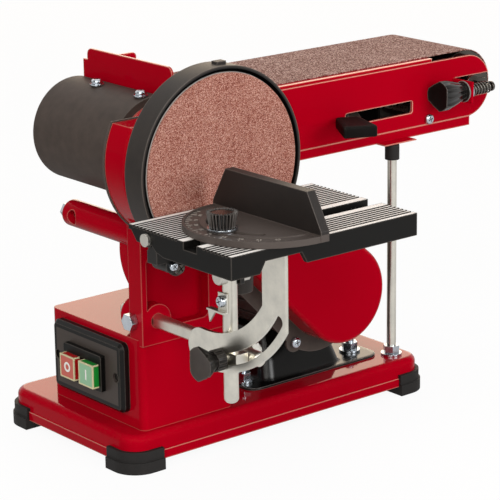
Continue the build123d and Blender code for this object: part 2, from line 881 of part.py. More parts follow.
with BuildPart() as cover_screws:
    bar(front(cover_rear, *tab), screw_r, -(head_front - cover_rear) - plate_screw_over)
    bar(front(cover_rear, *tab), plate_screw_r, plate_screw_head)
    hexagon(front(head_front, *tab), nut_flats, -nut_high)
    for at in guard_screws:
        bar(front(guard_deep - guard_wall, *at), screw_head_r, screw_head)
        bar(front(guard_deep - guard_wall, *at), screw_r, -guard_wall - guard_screw_deep)
    bar(front(guard_deep - guard_wall, *lug_screw), lug_screw_r, lug_screw_head)
    bar(front(guard_deep - guard_wall, *lug_screw), screw_r, -guard_wall - lug_screw_over)
    hexagon(front(guard_deep, *lug_screw), nut_flats, -nut_high)

# Belt arm: a front plate that turns on the spindle head, a channel behind it whose top
# is the platen, and a sheet guard under the belt's return run
with BuildPart() as arm_front_plate:
    with BuildSketch(front(arm_front)):
        with Locations(((centres - arm_end) / 2, (arm_high + arm_low) / 2)):
            Rectangle(centres - arm_end, arm_high - arm_low)
        with Locations((centres - arm_end, (arm_high + arm_low) / 2)):
            Circle((arm_high - arm_low) / 2)
        Circle(arm_root_r)
        Circle(boss_r + gap, mode=Mode.SUBTRACT)
        with Locations((end_slot_left + centres / 2, 0)):
            Rectangle(centres, end_slot_high, mode=Mode.SUBTRACT)
        with Locations((lever_slot_x, lever_slot_z)):
            RectangleRounded(lever_slot_long, lever_slot_high, lever_slot_corner, mode=Mode.SUBTRACT)
        with Locations(*arm_screw_spots):
            Circle(screw_r, mode=Mode.SUBTRACT)
    extrude(amount=-arm_sheet)
    tab_front = track_y - track_tab_half
    strip(side(end_slot_left, (arm_front + tab_front) / 2), arm_front - tab_front, end_slot_high, -arm_sheet)
    bar(side(end_slot_left, track_y), track_screw_r + gap, -arm_sheet, mode=Mode.SUBTRACT)

flange_back = arm_back + bottom_flange
platen_back = belt_back - platen_inset
with BuildPart() as belt_platen:
    with BuildSketch(side(platen_left)):
        with BuildLine():
            Polyline((arm_back, web_low), (flange_back, web_low), (flange_back, web_low + platen_thick),
                     (arm_back + arm_sheet, web_low + platen_thick),
                     (arm_back + arm_sheet, drum_r - platen_thick), (platen_back, drum_r - platen_thick),
                     (platen_back, drum_r), (arm_back, drum_r), close=True)
        make_face()
    extrude(amount=platen_right - platen_left)
    strip(side(bracket_x, lever_pivot_y, (drum_r + web_low) / 2), bracket_wide,
          drum_r - web_low - platen_thick, bracket_sheet)
    bar(side(bracket_x, lever_pivot_y, lever_slot_z), stem_r + run, bracket_sheet, mode=Mode.SUBTRACT)
    with BuildSketch(front(arm_back)):
        with Locations((lever_slot_x, lever_slot_z)):
            RectangleRounded(lever_slot_long, lever_slot_high + sheet, lever_slot_corner)
        with Locations(*arm_screw_spots):
            Circle(screw_r)
    extrude(amount=-arm_sheet, mode=Mode.SUBTRACT)

guard_skin = sheet / 2
with BuildPart() as belt_lower_guard:
    with BuildSketch(side(guard_left)):
        with BuildLine():
            Polyline((arm_front, arm_low), (arm_front, guard_low), (belt_back + sheet, guard_low),
                     (belt_back + sheet, arm_low), (belt_back + guard_skin, arm_low),
                     (belt_back + guard_skin, guard_low + guard_skin),
                     (arm_front + guard_skin, guard_low + guard_skin),
                     (arm_front + guard_skin, arm_low), close=True)
        make_face()
    extrude(amount=guard_right - guard_left)
    strip(top(guard_low, prop_x + lip_shift, arm_front + (guard_skin - lip_deep) / 2), lip_long,
          lip_deep + guard_skin, guard_skin)

# Hood over the drum, open towards the belt, and the sheet stop that stands on it
def hood_outline(radius):
    """The hood's round outline, cut off upright on the belt's side."""
    with Locations((0, -hood_drop)):
        Circle(radius)
    with Locations((hood_lip + hood_r, -hood_drop)):
        Rectangle(2 * hood_r, 2 * hood_r, mode=Mode.SUBTRACT)


with BuildPart() as drum_hood:
    with BuildSketch(front(arm_back)):
        hood_outline(hood_r)
    extrude(amount=-(hood_back - arm_back))
    with BuildSketch(front(arm_back + sheet)):
        with Locations((0, -hood_drop)):
            Circle(hood_r - sheet)
    extrude(amount=-(hood_back - arm_back - 2 * sheet), mode=Mode.SUBTRACT)
    bar(front(arm_back), boss_r + spare, -sheet, mode=Mode.SUBTRACT)
    for y in stop_tab_screws:
        bar(top(hood_top - 3 * sheet, stop_screw_x, y), screw_r, 4 * sheet, mode=Mode.SUBTRACT)

tab_end = stop_screw_x - stop_tab / 2
tab_top = math.sqrt((hood_r - sheet) ** 2 - tab_end ** 2) - hood_drop - gap
stop_end = stop_front + stop_long
with BuildPart() as work_stop:
    with BuildSketch(side(stop_x)) as stop_outline:
        Polygon((stop_front, stop_low + stop_step), (stop_front + stop_step, stop_low), (stop_end, stop_low),
                (stop_end, stop_high - stop_return_drop),
                (stop_end - stop_step, stop_high - stop_return_drop),
                (stop_end - stop_step, stop_high), (stop_front, stop_high), align=None)
        fillet(stop_outline.vertices().group_by(Axis.Y)[-1], stop_step)
        fillet(stop_outline.vertices().group_by(Axis.Y)[0], sheet)
    extrude(amount=sheet)
    with BuildSketch(front(stop_end - stop_step - sheet)) as return_outline:
        with Locations((stop_x + stop_return / 2, (stop_low + stop_high - stop_return_drop) / 2)):
            Rectangle(stop_return, stop_high - stop_low - stop_return_drop)
        fillet(return_outline.vertices().sort_by(Axis.X)[-2:], 2 * sheet)
    extrude(amount=-sheet)
    for y in stop_tab_screws:
        strip(top(tab_top, (tab_end + stop_x) / 2, y), stop_x - tab_end, stop_tab, -sheet)
        bar(top(tab_top, stop_screw_x, y), screw_r, -sheet, mode=Mode.SUBTRACT)

with BuildPart() as sanding_belt:
    with BuildSketch(front(belt_front)):
        strap(drum_r + gap + belt_thick, drum_r + gap + belt_thick, (centres, 0))
        strap(drum_r + gap, drum_r + gap, (centres, 0), mode=Mode.SUBTRACT)
    extrude(amount=-belt_wide)

# Quick tension: a cam lever that turns on an upright pin and pushes the fork's stem
lever_plane = top(lever_slot_z - lever_thick / 2, lever_slot_x, lever_pivot_y)
lever_turned = lever_plane.rotated((0, 0, -lever_swing))
with BuildPart() as tension_lever:
    with BuildSketch(lever_plane):
        with Locations((lever_cam * math.cos(math.radians(lever_lead)),
                        lever_cam * math.sin(math.radians(lever_lead)))):
            Circle(lever_hub)
    extrude(amount=lever_thick)
    with BuildSketch(lever_turned):
        with Locations((0, -lever_tongue / 2)):
            Rectangle(lever_arm_wide, lever_tongue)
    extrude(amount=lever_thick)
    bar(lever_plane, pin_r + run, lever_thick, mode=Mode.SUBTRACT)

grip_start = lever_reach - lever_grip
with BuildPart() as lever_handle:
    with BuildSketch(lever_turned.offset(-lever_grip_lip)) as grip_outline:
        Polygon((-lever_grip_neck / 2, -grip_start), (lever_grip_neck / 2, -grip_start),
                (lever_grip_wide / 2, -lever_reach), (-lever_grip_wide / 2, -lever_reach), align=None)
        fillet(grip_outline.vertices(), lever_grip_lip * 2)
    extrude(amount=lever_thick + 2 * lever_grip_lip)
    fillet(lever_handle.faces().filter_by(Plane.XY).edges(), lever_grip_lip)
    with BuildSketch(lever_turned):
        with Locations((0, -lever_tongue / 2)):
            Rectangle(lever_arm_wide, lever_tongue)
    extrude(amount=lever_thick, mode=Mode.SUBTRACT)

# Idler roller on an axle in a fork; the fork's stem slides in the platen's bracket
with BuildPart() as idler_fork:
    strip(side(fork_cross, (fork_front + fork_rear + fork_sheet) / 2), fork_rear + fork_sheet - fork_front,
          fork_high, fork_sheet)
    for y in (fork_front, fork_rear):
        with BuildSketch(front(y)):
            with Locations(((fork_cross + centres) / 2, 0)):
                Rectangle(centres - fork_cross, fork_high)
            with Locations((centres, 0)):
                Circle(fork_high / 2)
                Circle(idler_axle_r, mode=Mode.SUBTRACT)
        extrude(amount=-fork_sheet)
    stem_end = lever_slot_x + lever_hub + lever_cam * math.cos(math.radians(lever_lead)) + cam_gap
    bar(side(stem_end, lever_pivot_y, lever_slot_z), stem_r, fork_cross - stem_end)

with BuildPart() as idler_axle:
    axle_front = track_link_y - track_link
    bar(front(axle_front, centres), idler_axle_r, -(fork_rear + fork_sheet - axle_front))

with BuildPart() as idler_roller:
    bar(front(belt_front + idler_inset, centres), drum_r, -(belt_wide - 2 * idler_inset),
        bore=idler_axle_r + run)

with BuildPart() as tracking_link:
    with BuildSketch(front(track_link_y, centres)):
        SlotOverall(track_link_long, track_link_high)
        Circle(idler_axle_r, mode=Mode.SUBTRACT)
    extrude(amount=track_link)
    nose_deep = track_link_y - track_y + track_nose_r
    strip(side(track_nose_x, track_link_y - nose_deep / 2), nose_deep, 2 * track_nose_r, track_nose)
    bar(side(track_nose_x, track_y), track_screw_r + run, track_nose, mode=Mode.SUBTRACT)
    bar(front(track_link_y, centres), idler_axle_r, track_link, mode=Mode.SUBTRACT)


def lobed_knob(plane, radius, length, neck):
    """A three-lobed grip that widens away from its plane, on a round collar of its own."""
    ends = []
    for level, (reach, round_off) in ((neck, lobe_root), (length, lobe_face)):
        with BuildSketch(plane.offset(level)) as lobes:
            RegularPolygon(radius * reach, 3)
            fillet(lobes.vertices(), radius * round_off)
        ends.append(lobes.sketch)
    loft(ends)
    bar(plane, radius * lobe_collar, neck)


knob_plane = Plane(side(end_slot_left - arm_sheet - gap, track_y).origin, x_dir=(0, 1, 0), z_dir=(-1, 0, 0))
with BuildPart() as tracking_knob:
    lobed_knob(knob_plane, track_knob_r, track_knob_long, track_knob_neck)
    bar(knob_plane, track_screw_r, track_knob_neck, mode=Mode.SUBTRACT)

with BuildPart() as tracking_screw:
    bar(knob_plane.offset(track_knob_neck), track_screw_r, -(track_nose_x + track_nose + track_screw_over
        - end_slot_left + arm_sheet + gap + track_knob_neck))
    bar(side(track_nose_x + track_nose + gap, track_y), 2 * track_screw_r, track_screw_over / 2,
        bore=track_screw_r)

# Screws, pins and washers of the arm and of the stop
with BuildPart() as arm_screws:
    for x, z in arm_screw_spots:
        bar(front(arm_front, x, z), screw_head_r, screw_head)
        bar(front(arm_front, x, z), screw_r, -2 * arm_sheet)
    for y in stop_tab_screws:
        screw_low = tab_top - sheet - nut_high / 2
        bar(top(screw_low, stop_screw_x, y), screw_r, hood_top + sheet - screw_low)
        bar(top(hood_top, stop_screw_x, y), stop_washer_r, stop_washer, bore=screw_r)
        bar(top(hood_top + stop_washer, stop_screw_x, y), screw_head_r, screw_head, bore=screw_r)
        hexagon(top(tab_top - sheet, stop_screw_x, y), nut_flats, -nut_high / 2)
    bar(top(web_low + platen_thick, lever_slot_x, lever_pivot_y), pin_r, drum_r - web_low - 2 * platen_thick)
    bar(side(end_slot_left, track_y), track_washer_r, sheet, bore=track_screw_r + gap)

row_origin = Vector(disc_x, disc_y, spindle_height)
along_x = Vector(1, 0, 0)
tension_spring = coil(row_origin + Vector(bracket_x + bracket_sheet, lever_pivot_y, lever_slot_z), along_x,
                      Vector(0, 0, 1), tension_coil_r, fork_cross - bracket_x - bracket_sheet, tension_turns,
                      tension_wire)
tracking_spring = coil(row_origin + Vector(end_slot_left + sheet, track_y, 0), along_x, Vector(0, 0, 1),
                       track_coil_r, track_nose_x - end_slot_left - sheet, track_turns, track_wire)

# Rod with a rubber cap that props the arm, held by nuts in the tray
cap_top = guard_low - gap
with BuildPart() as prop_rod:
    bar(top(tray_low, prop_x, prop_y), prop_r, cap_top - cap_long / 3 - tray_low)

with BuildPart() as prop_nuts:
    bar(top(tray_top, prop_x, prop_y), washer_r, sheet, bore=prop_r)
    with BuildSketch(top(tray_top + sheet, prop_x, prop_y)):
        RegularPolygon(bolt_flats / 2, 6, major_radius=False)
        Circle(prop_r, mode=Mode.SUBTRACT)
    extrude(amount=bolt_head)
    bar(top(tray_top - sheet, prop_x, prop_y), prop_nut_r, -bolt_head / 2, bore=prop_r)

with BuildPart() as prop_cap:
    bar(top(cap_top - cap_long, prop_x, prop_y), cap_r, cap_long)
    fillet(prop_cap.faces().sort_by(Axis.Z)[-1].edges(), sheet)
    bar(top(cap_top - cap_long, prop_x, prop_y), prop_r, cap_long * 2 / 3, mode=Mode.SUBTRACT)

# Table: a ribbed plate with aprons, a mitre slot and rows of grooves
table_mid = (table_left + table_length / 2, (table_rear + table_front) / 2)
table_under = table_top - table_plate
slot_side = slot_width / 2 + slot_floor
slot_edges = (slot_y + slot_side, slot_y - slot_side)
groove_rows = []
for edge, limit in ((table_rear, slot_edges[0]), (slot_edges[1], table_front)):
    count = int((edge - limit - groove_pitch) / groove_pitch)
    start = (edge + limit + (count - 1) * groove_pitch) / 2
    groove_rows += [start - row * groove_pitch for row in range(count)]


def apron_profile():
    """The outline of an end apron, cut away at the rear so that it clears the disc when tilted."""
    cut = [(table_rear - inward, table_top - drop) for inward, drop in apron_cut]
    Polygon((table_rear, table_top), *cut, (table_front, table_top - apron), (table_front, table_top),
            align=None)
    with Locations((tilt_y, tilt_z)):
        Circle(pivot_head_r + spare)
        Circle(pivot_r, mode=Mode.SUBTRACT)


with BuildPart() as table:
    with BuildSketch(top(table_top, *table_mid)):
        Rectangle(table_length, table_depth)
    extrude(amount=-table_plate)
    for x, inward in ((table_left, apron_wall), (table_right, -apron_wall)):
        with BuildSketch(side(x)):
            apron_profile()
        extrude(amount=inward)
    strip(front(table_front, table_mid[0], table_top - apron / 2), table_length, apron, -apron_wall)
    with BuildSketch(front(table_front, (apron_notch_left + apron_notch_right) / 2, table_top - apron)):
        Trapezoid(apron_notch_right - apron_notch_left, 2 * apron_notch_depth, apron_notch_slope)
    extrude(amount=-apron_wall, mode=Mode.SUBTRACT)
    strip(top(table_top, table_mid[0], slot_y), table_length, 2 * slot_side, -slot_depth - slot_floor)
    strip(top(table_top, table_mid[0], slot_y), table_length, slot_width, -slot_depth, mode=Mode.SUBTRACT)
    with BuildSketch(top(table_top)):
        with Locations(*[(table_mid[0], row) for row in groove_rows]):
            Rectangle(table_length, groove_width)
    extrude(amount=-groove_depth, mode=Mode.SUBTRACT)
    with BuildSketch(top(table_under)):
        with Locations(*quadrant_screw_spots):
            Circle(screw_r)
    extrude(amount=table_plate - groove_depth - gap, mode=Mode.SUBTRACT)

# Yoke under the table: two ears on the pivot bolts, a cross bar and a lug on the post
with BuildPart() as table_yoke:
    ear_r = tilt_drop - table_plate - gap
    ear_left = table_left + apron_wall + gap
    ear_right = table_right - apron_wall - gap
    for x, inward in ((ear_left, ear), (ear_right, -ear)):
        with BuildSketch(side(x)):
            Polygon((tilt_y - ear_r, tilt_z), (tilt_y - ear_width / 2, yoke_low),
                    (tilt_y + ear_width / 2, yoke_low), (tilt_y + ear_r, tilt_z), align=None)
            with Locations((tilt_y, tilt_z)):
                Circle(ear_r)
                Circle(pivot_r + run, mode=Mode.SUBTRACT)
        extrude(amount=inward)
    strip(side(ear_left, tilt_y, yoke_low + yoke_bar / 2), ear_width, yoke_bar, ear_right - ear_left)
    with BuildSketch(side(post_x + rod_r)):
        Polygon((tilt_y + ear_width / 2, yoke_low + yoke_bar), (tilt_y - ear_width / 2, yoke_low + yoke_bar),
                (post_y - rod_r, yoke_bolt_z + lug_r), (post_y - rod_r, yoke_bolt_z - lug_r),
                (post_y + rod_r, yoke_bolt_z - lug_r), (tilt_y + ear_width / 2, yoke_low), align=None)
        with Locations((post_y, yoke_bolt_z)):
            Circle(bolt_r, mode=Mode.SUBTRACT)
    extrude(amount=lug_sheet)
    boss_front = tilt_y - ear_width / 2
    bar(front(boss_front, yoke_boss_x, yoke_low - yoke_boss_r / 2), yoke_boss_r, -1.5 * ear_width)
    bar(front(boss_front, yoke_boss_x, yoke_low - yoke_boss_r / 2), screw_r, -ear_width, mode=Mode.SUBTRACT)

with BuildPart() as table_post:
    bar(top(post_low, post_x, post_y), rod_r, post_high - post_low)
    fillet(table_post.faces().sort_by(Axis.Z)[0].edges(), post_round)
    strip(side(post_x - rod_r, post_y, rod_z), clamp_long, clamp_high, 2 * rod_r)
    bar(side(post_x - rod_r, post_y, rod_z), bolt_r + run, 2 * rod_r, mode=Mode.SUBTRACT)
    bar(side(post_x - rod_r, post_y, yoke_bolt_z), bolt_r, 2 * rod_r, mode=Mode.SUBTRACT)
    bar(side(post_x - rod_r, post_y, pointer_screw_z), screw_r, rod_r, mode=Mode.SUBTRACT)

with BuildPart() as table_rod:
    bar(front(rod_front, rod_x, rod_z), rod_r, -(rod_back - rod_front))
    chamfer(table_rod.faces().filter_by(Plane.XZ).edges(), rod_edge)
    strip(side(rod_x - rod_r, (rod_flat_front + rod_back) / 2, rod_z), rod_back - rod_flat_front, 2 * rod_r,
          rod_flat, mode=Mode.SUBTRACT)
    bar(side(rod_x - rod_r, post_y, rod_z), bolt_r + run, 2 * rod_r, mode=Mode.SUBTRACT)

with BuildPart() as carrier_bolts:
    bar(side(post_x - rod_r, post_y, yoke_bolt_z), bolt_r, 2 * rod_r + lug_sheet)
    bar(side(post_x - rod_r, post_y, yoke_bolt_z), yoke_bolt_r, -bolt_head)
    fillet(carrier_bolts.faces().sort_by(Axis.X)[0].edges(), sheet)
    hexagon(side(post_x + rod_r + lug_sheet, post_y, yoke_bolt_z), bolt_flats, bolt_head)
    bar(side(post_x - rod_r - pointer_sheet, post_y, pointer_screw_z), screw_r, pointer_sheet + rod_r)
    bar(side(post_x - rod_r - pointer_sheet, post_y, pointer_screw_z), screw_head_r, -screw_head)
    bar(front(boss_front, yoke_boss_x, yoke_low - yoke_boss_r / 2), screw_r, -ear_width)
    bar(front(boss_front, yoke_boss_x, yoke_low - yoke_boss_r / 2), screw_r + spare, screw_r)
    with BuildSketch(side(rod_x + rod_r, post_y, rod_z)):
        RegularPolygon(bolt_flats / 2, 6, major_radius=False)
        Circle(bolt_r + run, mode=Mode.SUBTRACT)
    extrude(amount=bolt_head)

# Angle pointer: bent sheet on the post, its tip in front of the quadrant's inner band
tip_x = quadrant_x - gap
foot_z = pointer_screw_z - pointer_drop
foot_x = post_x - rod_r
with BuildPart() as angle_pointer:
    strip(side(foot_x, post_y, foot_z - pointer_sheet + pointer_foot[1] / 2), *pointer_foot, -pointer_sheet)
    bar(side(foot_x, post_y, pointer_screw_z), screw_r, -pointer_sheet, mode=Mode.SUBTRACT)
    shelf_y = post_y + (pointer_shelf - pointer_foot[0]) / 2
    strip(top(foot_z, (foot_x + tip_x - pointer_sheet) / 2, shelf_y), foot_x - tip_x + pointer_sheet,
          pointer_shelf, -pointer_sheet)
    with BuildSketch(side(tip_x)):
        Polygon(*[(post_y + along, foot_z - drop) for along, drop in pointer_tip], align=None)
    extrude(amount=-pointer_sheet)

# Quadrant: a slotted sector bolted under the table, concentric with the tilt pivots
band_out = slot_mean + quadrant_outer
band_in = slot_mean - quadrant_inner
arm_out = table_front + apron_wall + spare
rear_end = math.radians(quadrant_tail)
tilt_path = CenterArc((tilt_y, tilt_z), slot_mean, 270 - lock_angle - quadrant_sweep - quadrant_over,
                      quadrant_sweep + 2 * quadrant_over)
with BuildPart() as quadrant:
    with BuildSketch(side(quadrant_x)):
        with Locations((tilt_y, tilt_z)):
            Circle(band_out)
            Circle(band_in, mode=Mode.SUBTRACT)
        below = tilt_z - 2 * band_out
        Polygon((tilt_y, tilt_z), (tilt_y + 2 * band_out * math.tan(rear_end), below), (arm_out, below),
                (arm_out, tilt_z), align=None, mode=Mode.INTERSECT)
        arm_low_z = tilt_z - math.sqrt(band_in ** 2 - (arm_out + quadrant_arm - tilt_y) ** 2)
        with Locations((arm_out + quadrant_arm / 2, (arm_low_z + table_under) / 2)):
            Rectangle(quadrant_arm, table_under - arm_low_z)
        band_mean = (band_in + band_out) / 2
        with Locations((tilt_y + band_mean * math.sin(rear_end), tilt_z - band_mean * math.cos(rear_end))):
            Circle((band_out - band_in) / 2)
        SlotArc(tilt_path, quadrant_slot, mode=Mode.SUBTRACT)
    extrude(amount=quadrant_sheet)
    strip(top(table_under, quadrant_x + quadrant_flange / 2, arm_out + quadrant_arm / 2), quadrant_flange,
          quadrant_arm, -quadrant_sheet)
    with BuildSketch(top(table_under)):
        with Locations(*quadrant_screw_spots):
            Circle(screw_r)
    extrude(amount=-quadrant_sheet, mode=Mode.SUBTRACT)

with BuildPart() as table_bolts:
    for x, inward in ((table_left, 1), (table_right, -1)):
        bar(side(x, tilt_y, tilt_z), pivot_r, inward * (apron_wall + gap + ear))
        bar(side(x, tilt_y, tilt_z), pivot_head_r, -inward * pivot_head)
    for x, y in quadrant_screw_spots:
        bar(top(table_under - quadrant_sheet, x, y), screw_r,
            quadrant_sheet + table_plate - groove_depth - gap)
        bar(top(table_under - quadrant_sheet, x, y), screw_head_r, -screw_head)

lock_plane = Plane(side(quadrant_x - gap, post_y, rod_z).origin, x_dir=(0, 1, 0), z_dir=(-1, 0, 0))
with BuildPart() as table_lock_knob:
    lobed_knob(lock_plane, lock_knob_r, lock_knob_long, lock_knob_neck)
    bar(lock_plane, bolt_r, lock_knob_neck, mode=Mode.SUBTRACT)

with BuildPart() as table_lock_stud:
    bar(lock_plane.offset(lock_knob_neck), bolt_r,
        -(rod_x + rod_r + bolt_head + lock_stud_over - quadrant_x + gap + lock_knob_neck))

# Mitre gauge: a bar in the slot, a head with a protractor and a fence, and a clamping knob
head_low = table_top + gap
head_top = head_low + mitre_thick
knob_x = mitre_x - knob_reach
with BuildPart() as mitre_bar:
    strip(top(slot_low + bar_play, mitre_bar_left + mitre_bar_length / 2, slot_y), mitre_bar_length,
          slot_width - 2 * bar_play, slot_depth - 2 * bar_play)
    chamfer(mitre_bar.faces().filter_by(Plane.YZ).edges().filter_by(Axis.Z), bar_edge)
    bar_top = table_top - bar_play
    bar(top(bar_top, mitre_x, slot_y), mitre_pin_r, head_top - bar_top - pin_cover)
    bar(top(bar_top, knob_x, slot_y), stud_r, head_top - bar_top + mitre_knob_high / 2)

swing_half = mitre_swing + swing_over
swing_path = CenterArc((0, 0), knob_reach, 180 - swing_half, 2 * swing_half)
with BuildPart() as mitre_head:
    with BuildSketch(top(head_low, mitre_x, slot_y)):
        Circle(mitre_r)
        with Locations((fence_thick + mitre_r, 0)):
            Rectangle(2 * mitre_r, 2 * mitre_r, mode=Mode.SUBTRACT)
        SlotArc(swing_path, 2 * stud_r + 2 * gap, mode=Mode.SUBTRACT)
    extrude(amount=mitre_thick)
    with BuildSketch(top(head_top, mitre_x, slot_y)):
        Circle(mitre_r - mitre_rim)
        Circle(mitre_r - mitre_band, mode=Mode.SUBTRACT)
    extrude(amount=-mitre_band_drop, mode=Mode.SUBTRACT)
    with BuildSketch(side(mitre_x, slot_y, head_low)):
        half = fence_long / 2
        Polygon((-half, 0), (-half, fence_foot), (-half + fence_slant, fence_high),
                (half - fence_slant, fence_high), (half, fence_foot), (half, 0), align=None)
    extrude(amount=fence_thick)
    bar(top(head_low, mitre_x, slot_y), mitre_pin_r + run, mitre_thick - pin_cover + gap, mode=Mode.SUBTRACT)

with BuildPart() as mitre_knob:
    bar(top(head_top + gap, knob_x, slot_y), *mitre_knob_foot)
    with BuildSketch(top(head_top + gap + mitre_knob_foot[1], knob_x, slot_y)):
        Circle(mitre_knob_r)
        with PolarLocations(mitre_knob_r, knurls):
            Circle(knurl_r, mode=Mode.SUBTRACT)
    extrude(amount=mitre_knob_high - mitre_knob_foot[1])
    bar(top(head_top + gap, knob_x, slot_y), stud_r + run, mitre_knob_high / 2, mode=Mode.SUBTRACT)

pieces = {
    "base_tray": base_tray, "rubber_feet": rubber_feet, "pedestal": pedestal, "clamp_bolts": clamp_bolts,
    "cable_gland": cable_gland, "switch_housing": switch_housing, "switch_screws": switch_screws,
    "switch_bezel": switch_bezel, "stop_button": buttons["stop_button"],
    "start_button": buttons["start_button"], "motor_housing": motor_housing,
    "motor_fan_cap": motor_fan_cap, "motor_mount": motor_mount, "mount_bolts": mount_bolts,
    "motor_shaft": motor_shaft, "motor_pulley": motor_pulley, "driven_pulley": driven_pulley,
    "drive_belt": drive_belt, "spindle": spindle, "spindle_bearings": spindle_bearings,
    "disc_back": disc_back, "abrasive_disc": abrasive_disc, "drive_drum": drive_drum,
    "disc_guard": disc_guard, "pulley_cover": pulley_cover, "cover_back_plate": cover_back_plate,
    "cover_screws": cover_screws, "arm_front_plate": arm_front_plate, "belt_platen": belt_platen,
    "belt_lower_guard": belt_lower_guard, "arm_screws": arm_screws, "drum_hood": drum_hood,
    "work_stop": work_stop, "sanding_belt": sanding_belt, "tension_lever": tension_lever,
    "lever_handle": lever_handle, "idler_fork": idler_fork, "idler_axle": idler_axle,
    "idler_roller": idler_roller, "tracking_link": tracking_link, "tracking_knob": tracking_knob,
    "tracking_screw": tracking_screw, "tension_spring": tension_spring,
    "tracking_spring": tracking_spring, "prop_rod": prop_rod, "prop_nuts": prop_nuts,
    "prop_cap": prop_cap, "table": table, "table_bolts": table_bolts, "table_yoke": table_yoke,
    "table_post": table_post, "table_rod": table_rod, "carrier_bolts": carrier_bolts,
    "angle_pointer": angle_pointer, "quadrant": quadrant, "table_lock_knob": table_lock_knob,
    "table_lock_stud": table_lock_stud, "mitre_bar": mitre_bar, "mitre_head": mitre_head,
    "mitre_knob": mitre_knob,
}
for label, piece in pieces.items():
    piece.part.label = label
    export_step(piece.part, f"parts/{label}.step")
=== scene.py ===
import math
import bpy
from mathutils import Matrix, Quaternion, Vector


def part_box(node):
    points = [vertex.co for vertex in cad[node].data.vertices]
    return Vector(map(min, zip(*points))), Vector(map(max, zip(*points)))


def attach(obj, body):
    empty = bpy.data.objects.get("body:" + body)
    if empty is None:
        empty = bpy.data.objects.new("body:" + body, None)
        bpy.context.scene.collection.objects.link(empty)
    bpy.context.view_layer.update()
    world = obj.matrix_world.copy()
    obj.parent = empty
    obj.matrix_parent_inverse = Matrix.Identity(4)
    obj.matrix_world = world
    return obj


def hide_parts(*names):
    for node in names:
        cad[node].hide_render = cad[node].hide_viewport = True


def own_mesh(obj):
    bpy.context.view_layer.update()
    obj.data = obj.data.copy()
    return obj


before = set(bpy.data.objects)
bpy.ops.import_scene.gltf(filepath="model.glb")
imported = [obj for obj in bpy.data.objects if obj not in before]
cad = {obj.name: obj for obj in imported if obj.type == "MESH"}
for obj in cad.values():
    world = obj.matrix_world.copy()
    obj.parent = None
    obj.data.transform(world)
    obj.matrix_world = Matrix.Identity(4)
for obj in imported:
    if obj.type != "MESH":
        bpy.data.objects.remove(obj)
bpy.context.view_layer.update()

bpy.ops.object.select_all(action="DESELECT")


# Base tray: one steel sheet pressed into a shallow pan, its rim rolled and a bead run along its
# foot, then coated with the same glossy red stove enamel as the pedestal and the belt arm.
class Level:
    """A shader value that takes part in Python sums; every sum adds a Math node."""

    def __init__(self, finish, socket):
        self.finish = finish
        self.socket = socket

    def sum(self, operation, first, second):
        return self.finish.add("Math", {"operation": operation}, {0: first, 1: second})

    def __add__(self, other):
        return self.sum("ADD", self, other)

    def __radd__(self, other):
        return self.sum("ADD", other, self)

    def __sub__(self, other):
        return self.sum("SUBTRACT", self, other)

    def __rsub__(self, other):
        return self.sum("SUBTRACT", other, self)

    def __mul__(self, other):
        return self.sum("MULTIPLY", self, other)

    def __rmul__(self, other):
        return self.sum("MULTIPLY", other, self)

    def __gt__(self, other):
        return self.sum("GREATER_THAN", self, other)

    def __lt__(self, other):
        return self.sum("LESS_THAN", self, other)


class Finish:
    """One finish made of nodes, on the coordinates of the piece that wears it."""

    def __init__(self, owner):
        self.owner = owner
        owner.use_nodes = True
        self.tree = owner.node_tree
        self.tree.nodes.clear()

    def add(self, kind, settings=(), sockets=(), out=0):
        """Adds a node: its settings first, then the values or links of its sockets."""
        made = self.tree.nodes.new("ShaderNode" + kind)
        for name, value in dict(settings).items():
            if name == "stops":
                while len(made.color_ramp.elements) < len(value):
                    made.color_ramp.elements.new(1)
                for stop, (place, colour) in zip(made.color_ramp.elements, value):
                    stop.position = place
                    stop.color = colour
            else:
                setattr(made, name, value)
        for name, value in dict(sockets).items():
            if isinstance(value, Level):
                self.tree.links.new(value.socket, made.inputs[name])
            else:
                made.inputs[name].default_value = value
        return Level(self, made.outputs[out]) if made.outputs else None

    def place(self, stretch=(1, 1, 1)):
        """The piece's own coordinates, in metres, squeezed along each axis where wanted."""
        here = self.add("TexCoord", out="Object")
        return self.add("Mapping", sockets={"Vector": here, "Scale": stretch})

    def along(self, axis):
        """How far along one axis a point lies, in metres."""
        return self.add("SeparateXYZ", sockets={"Vector": self.place()}, out=axis)

    def noise(self, scale, detail=2.0, rough=0.5, stretch=(1, 1, 1)):
        """Cloudy variation; a coordinate squeezed by stretch draws it out into lines."""
        return self.add("TexNoise", sockets={
            "Vector": self.place(stretch), "Scale": scale, "Detail": detail, "Roughness": rough})

    def mix(self, share, low, high):
        """One colour fading into another."""
        return self.add("Mix", {"data_type": "RGBA"}, {0: share, 6: low, 7: high}, 2)

    def ramp(self, level, *stops):
        """A level turned into a colour by stops, each a place and a colour."""
        return self.add("ValToRGB", {"stops": stops}, {"Fac": level})

    def rounded(self, radius):
        """The surface's normal with its sharp edges broken by a small radius."""
        return self.add("Bevel", {"samples": 6}, {"Radius": radius})

    def edges(self, width):
        """Bright along a piece's outer edges and dark on its faces: the mask for painted edge
        highlights, and on the table for where the black coat meets the bare rib tops.
        """
        within = self.add("AmbientOcclusion", {"inside": True, "only_local": True, "samples": 8},
                          {"Distance": width}, "AO")
        return self.add("Clamp", sockets={"Value": (1 - within) * 2.2})

    def bump(self, height, strength, depth, normal=None):
        """Small relief on top of a normal."""
        sockets = {"Height": height, "Strength": strength, "Distance": depth}
        if normal:
            sockets["Normal"] = normal
        return self.add("Bump", sockets=sockets)

    def shade(self, sockets):
        """Ends the finish in a shader with these sockets."""
        surface = self.add("BsdfPrincipled", sockets=sockets)
        self.add("OutputMaterial", sockets={"Surface": surface})
        return self.owner


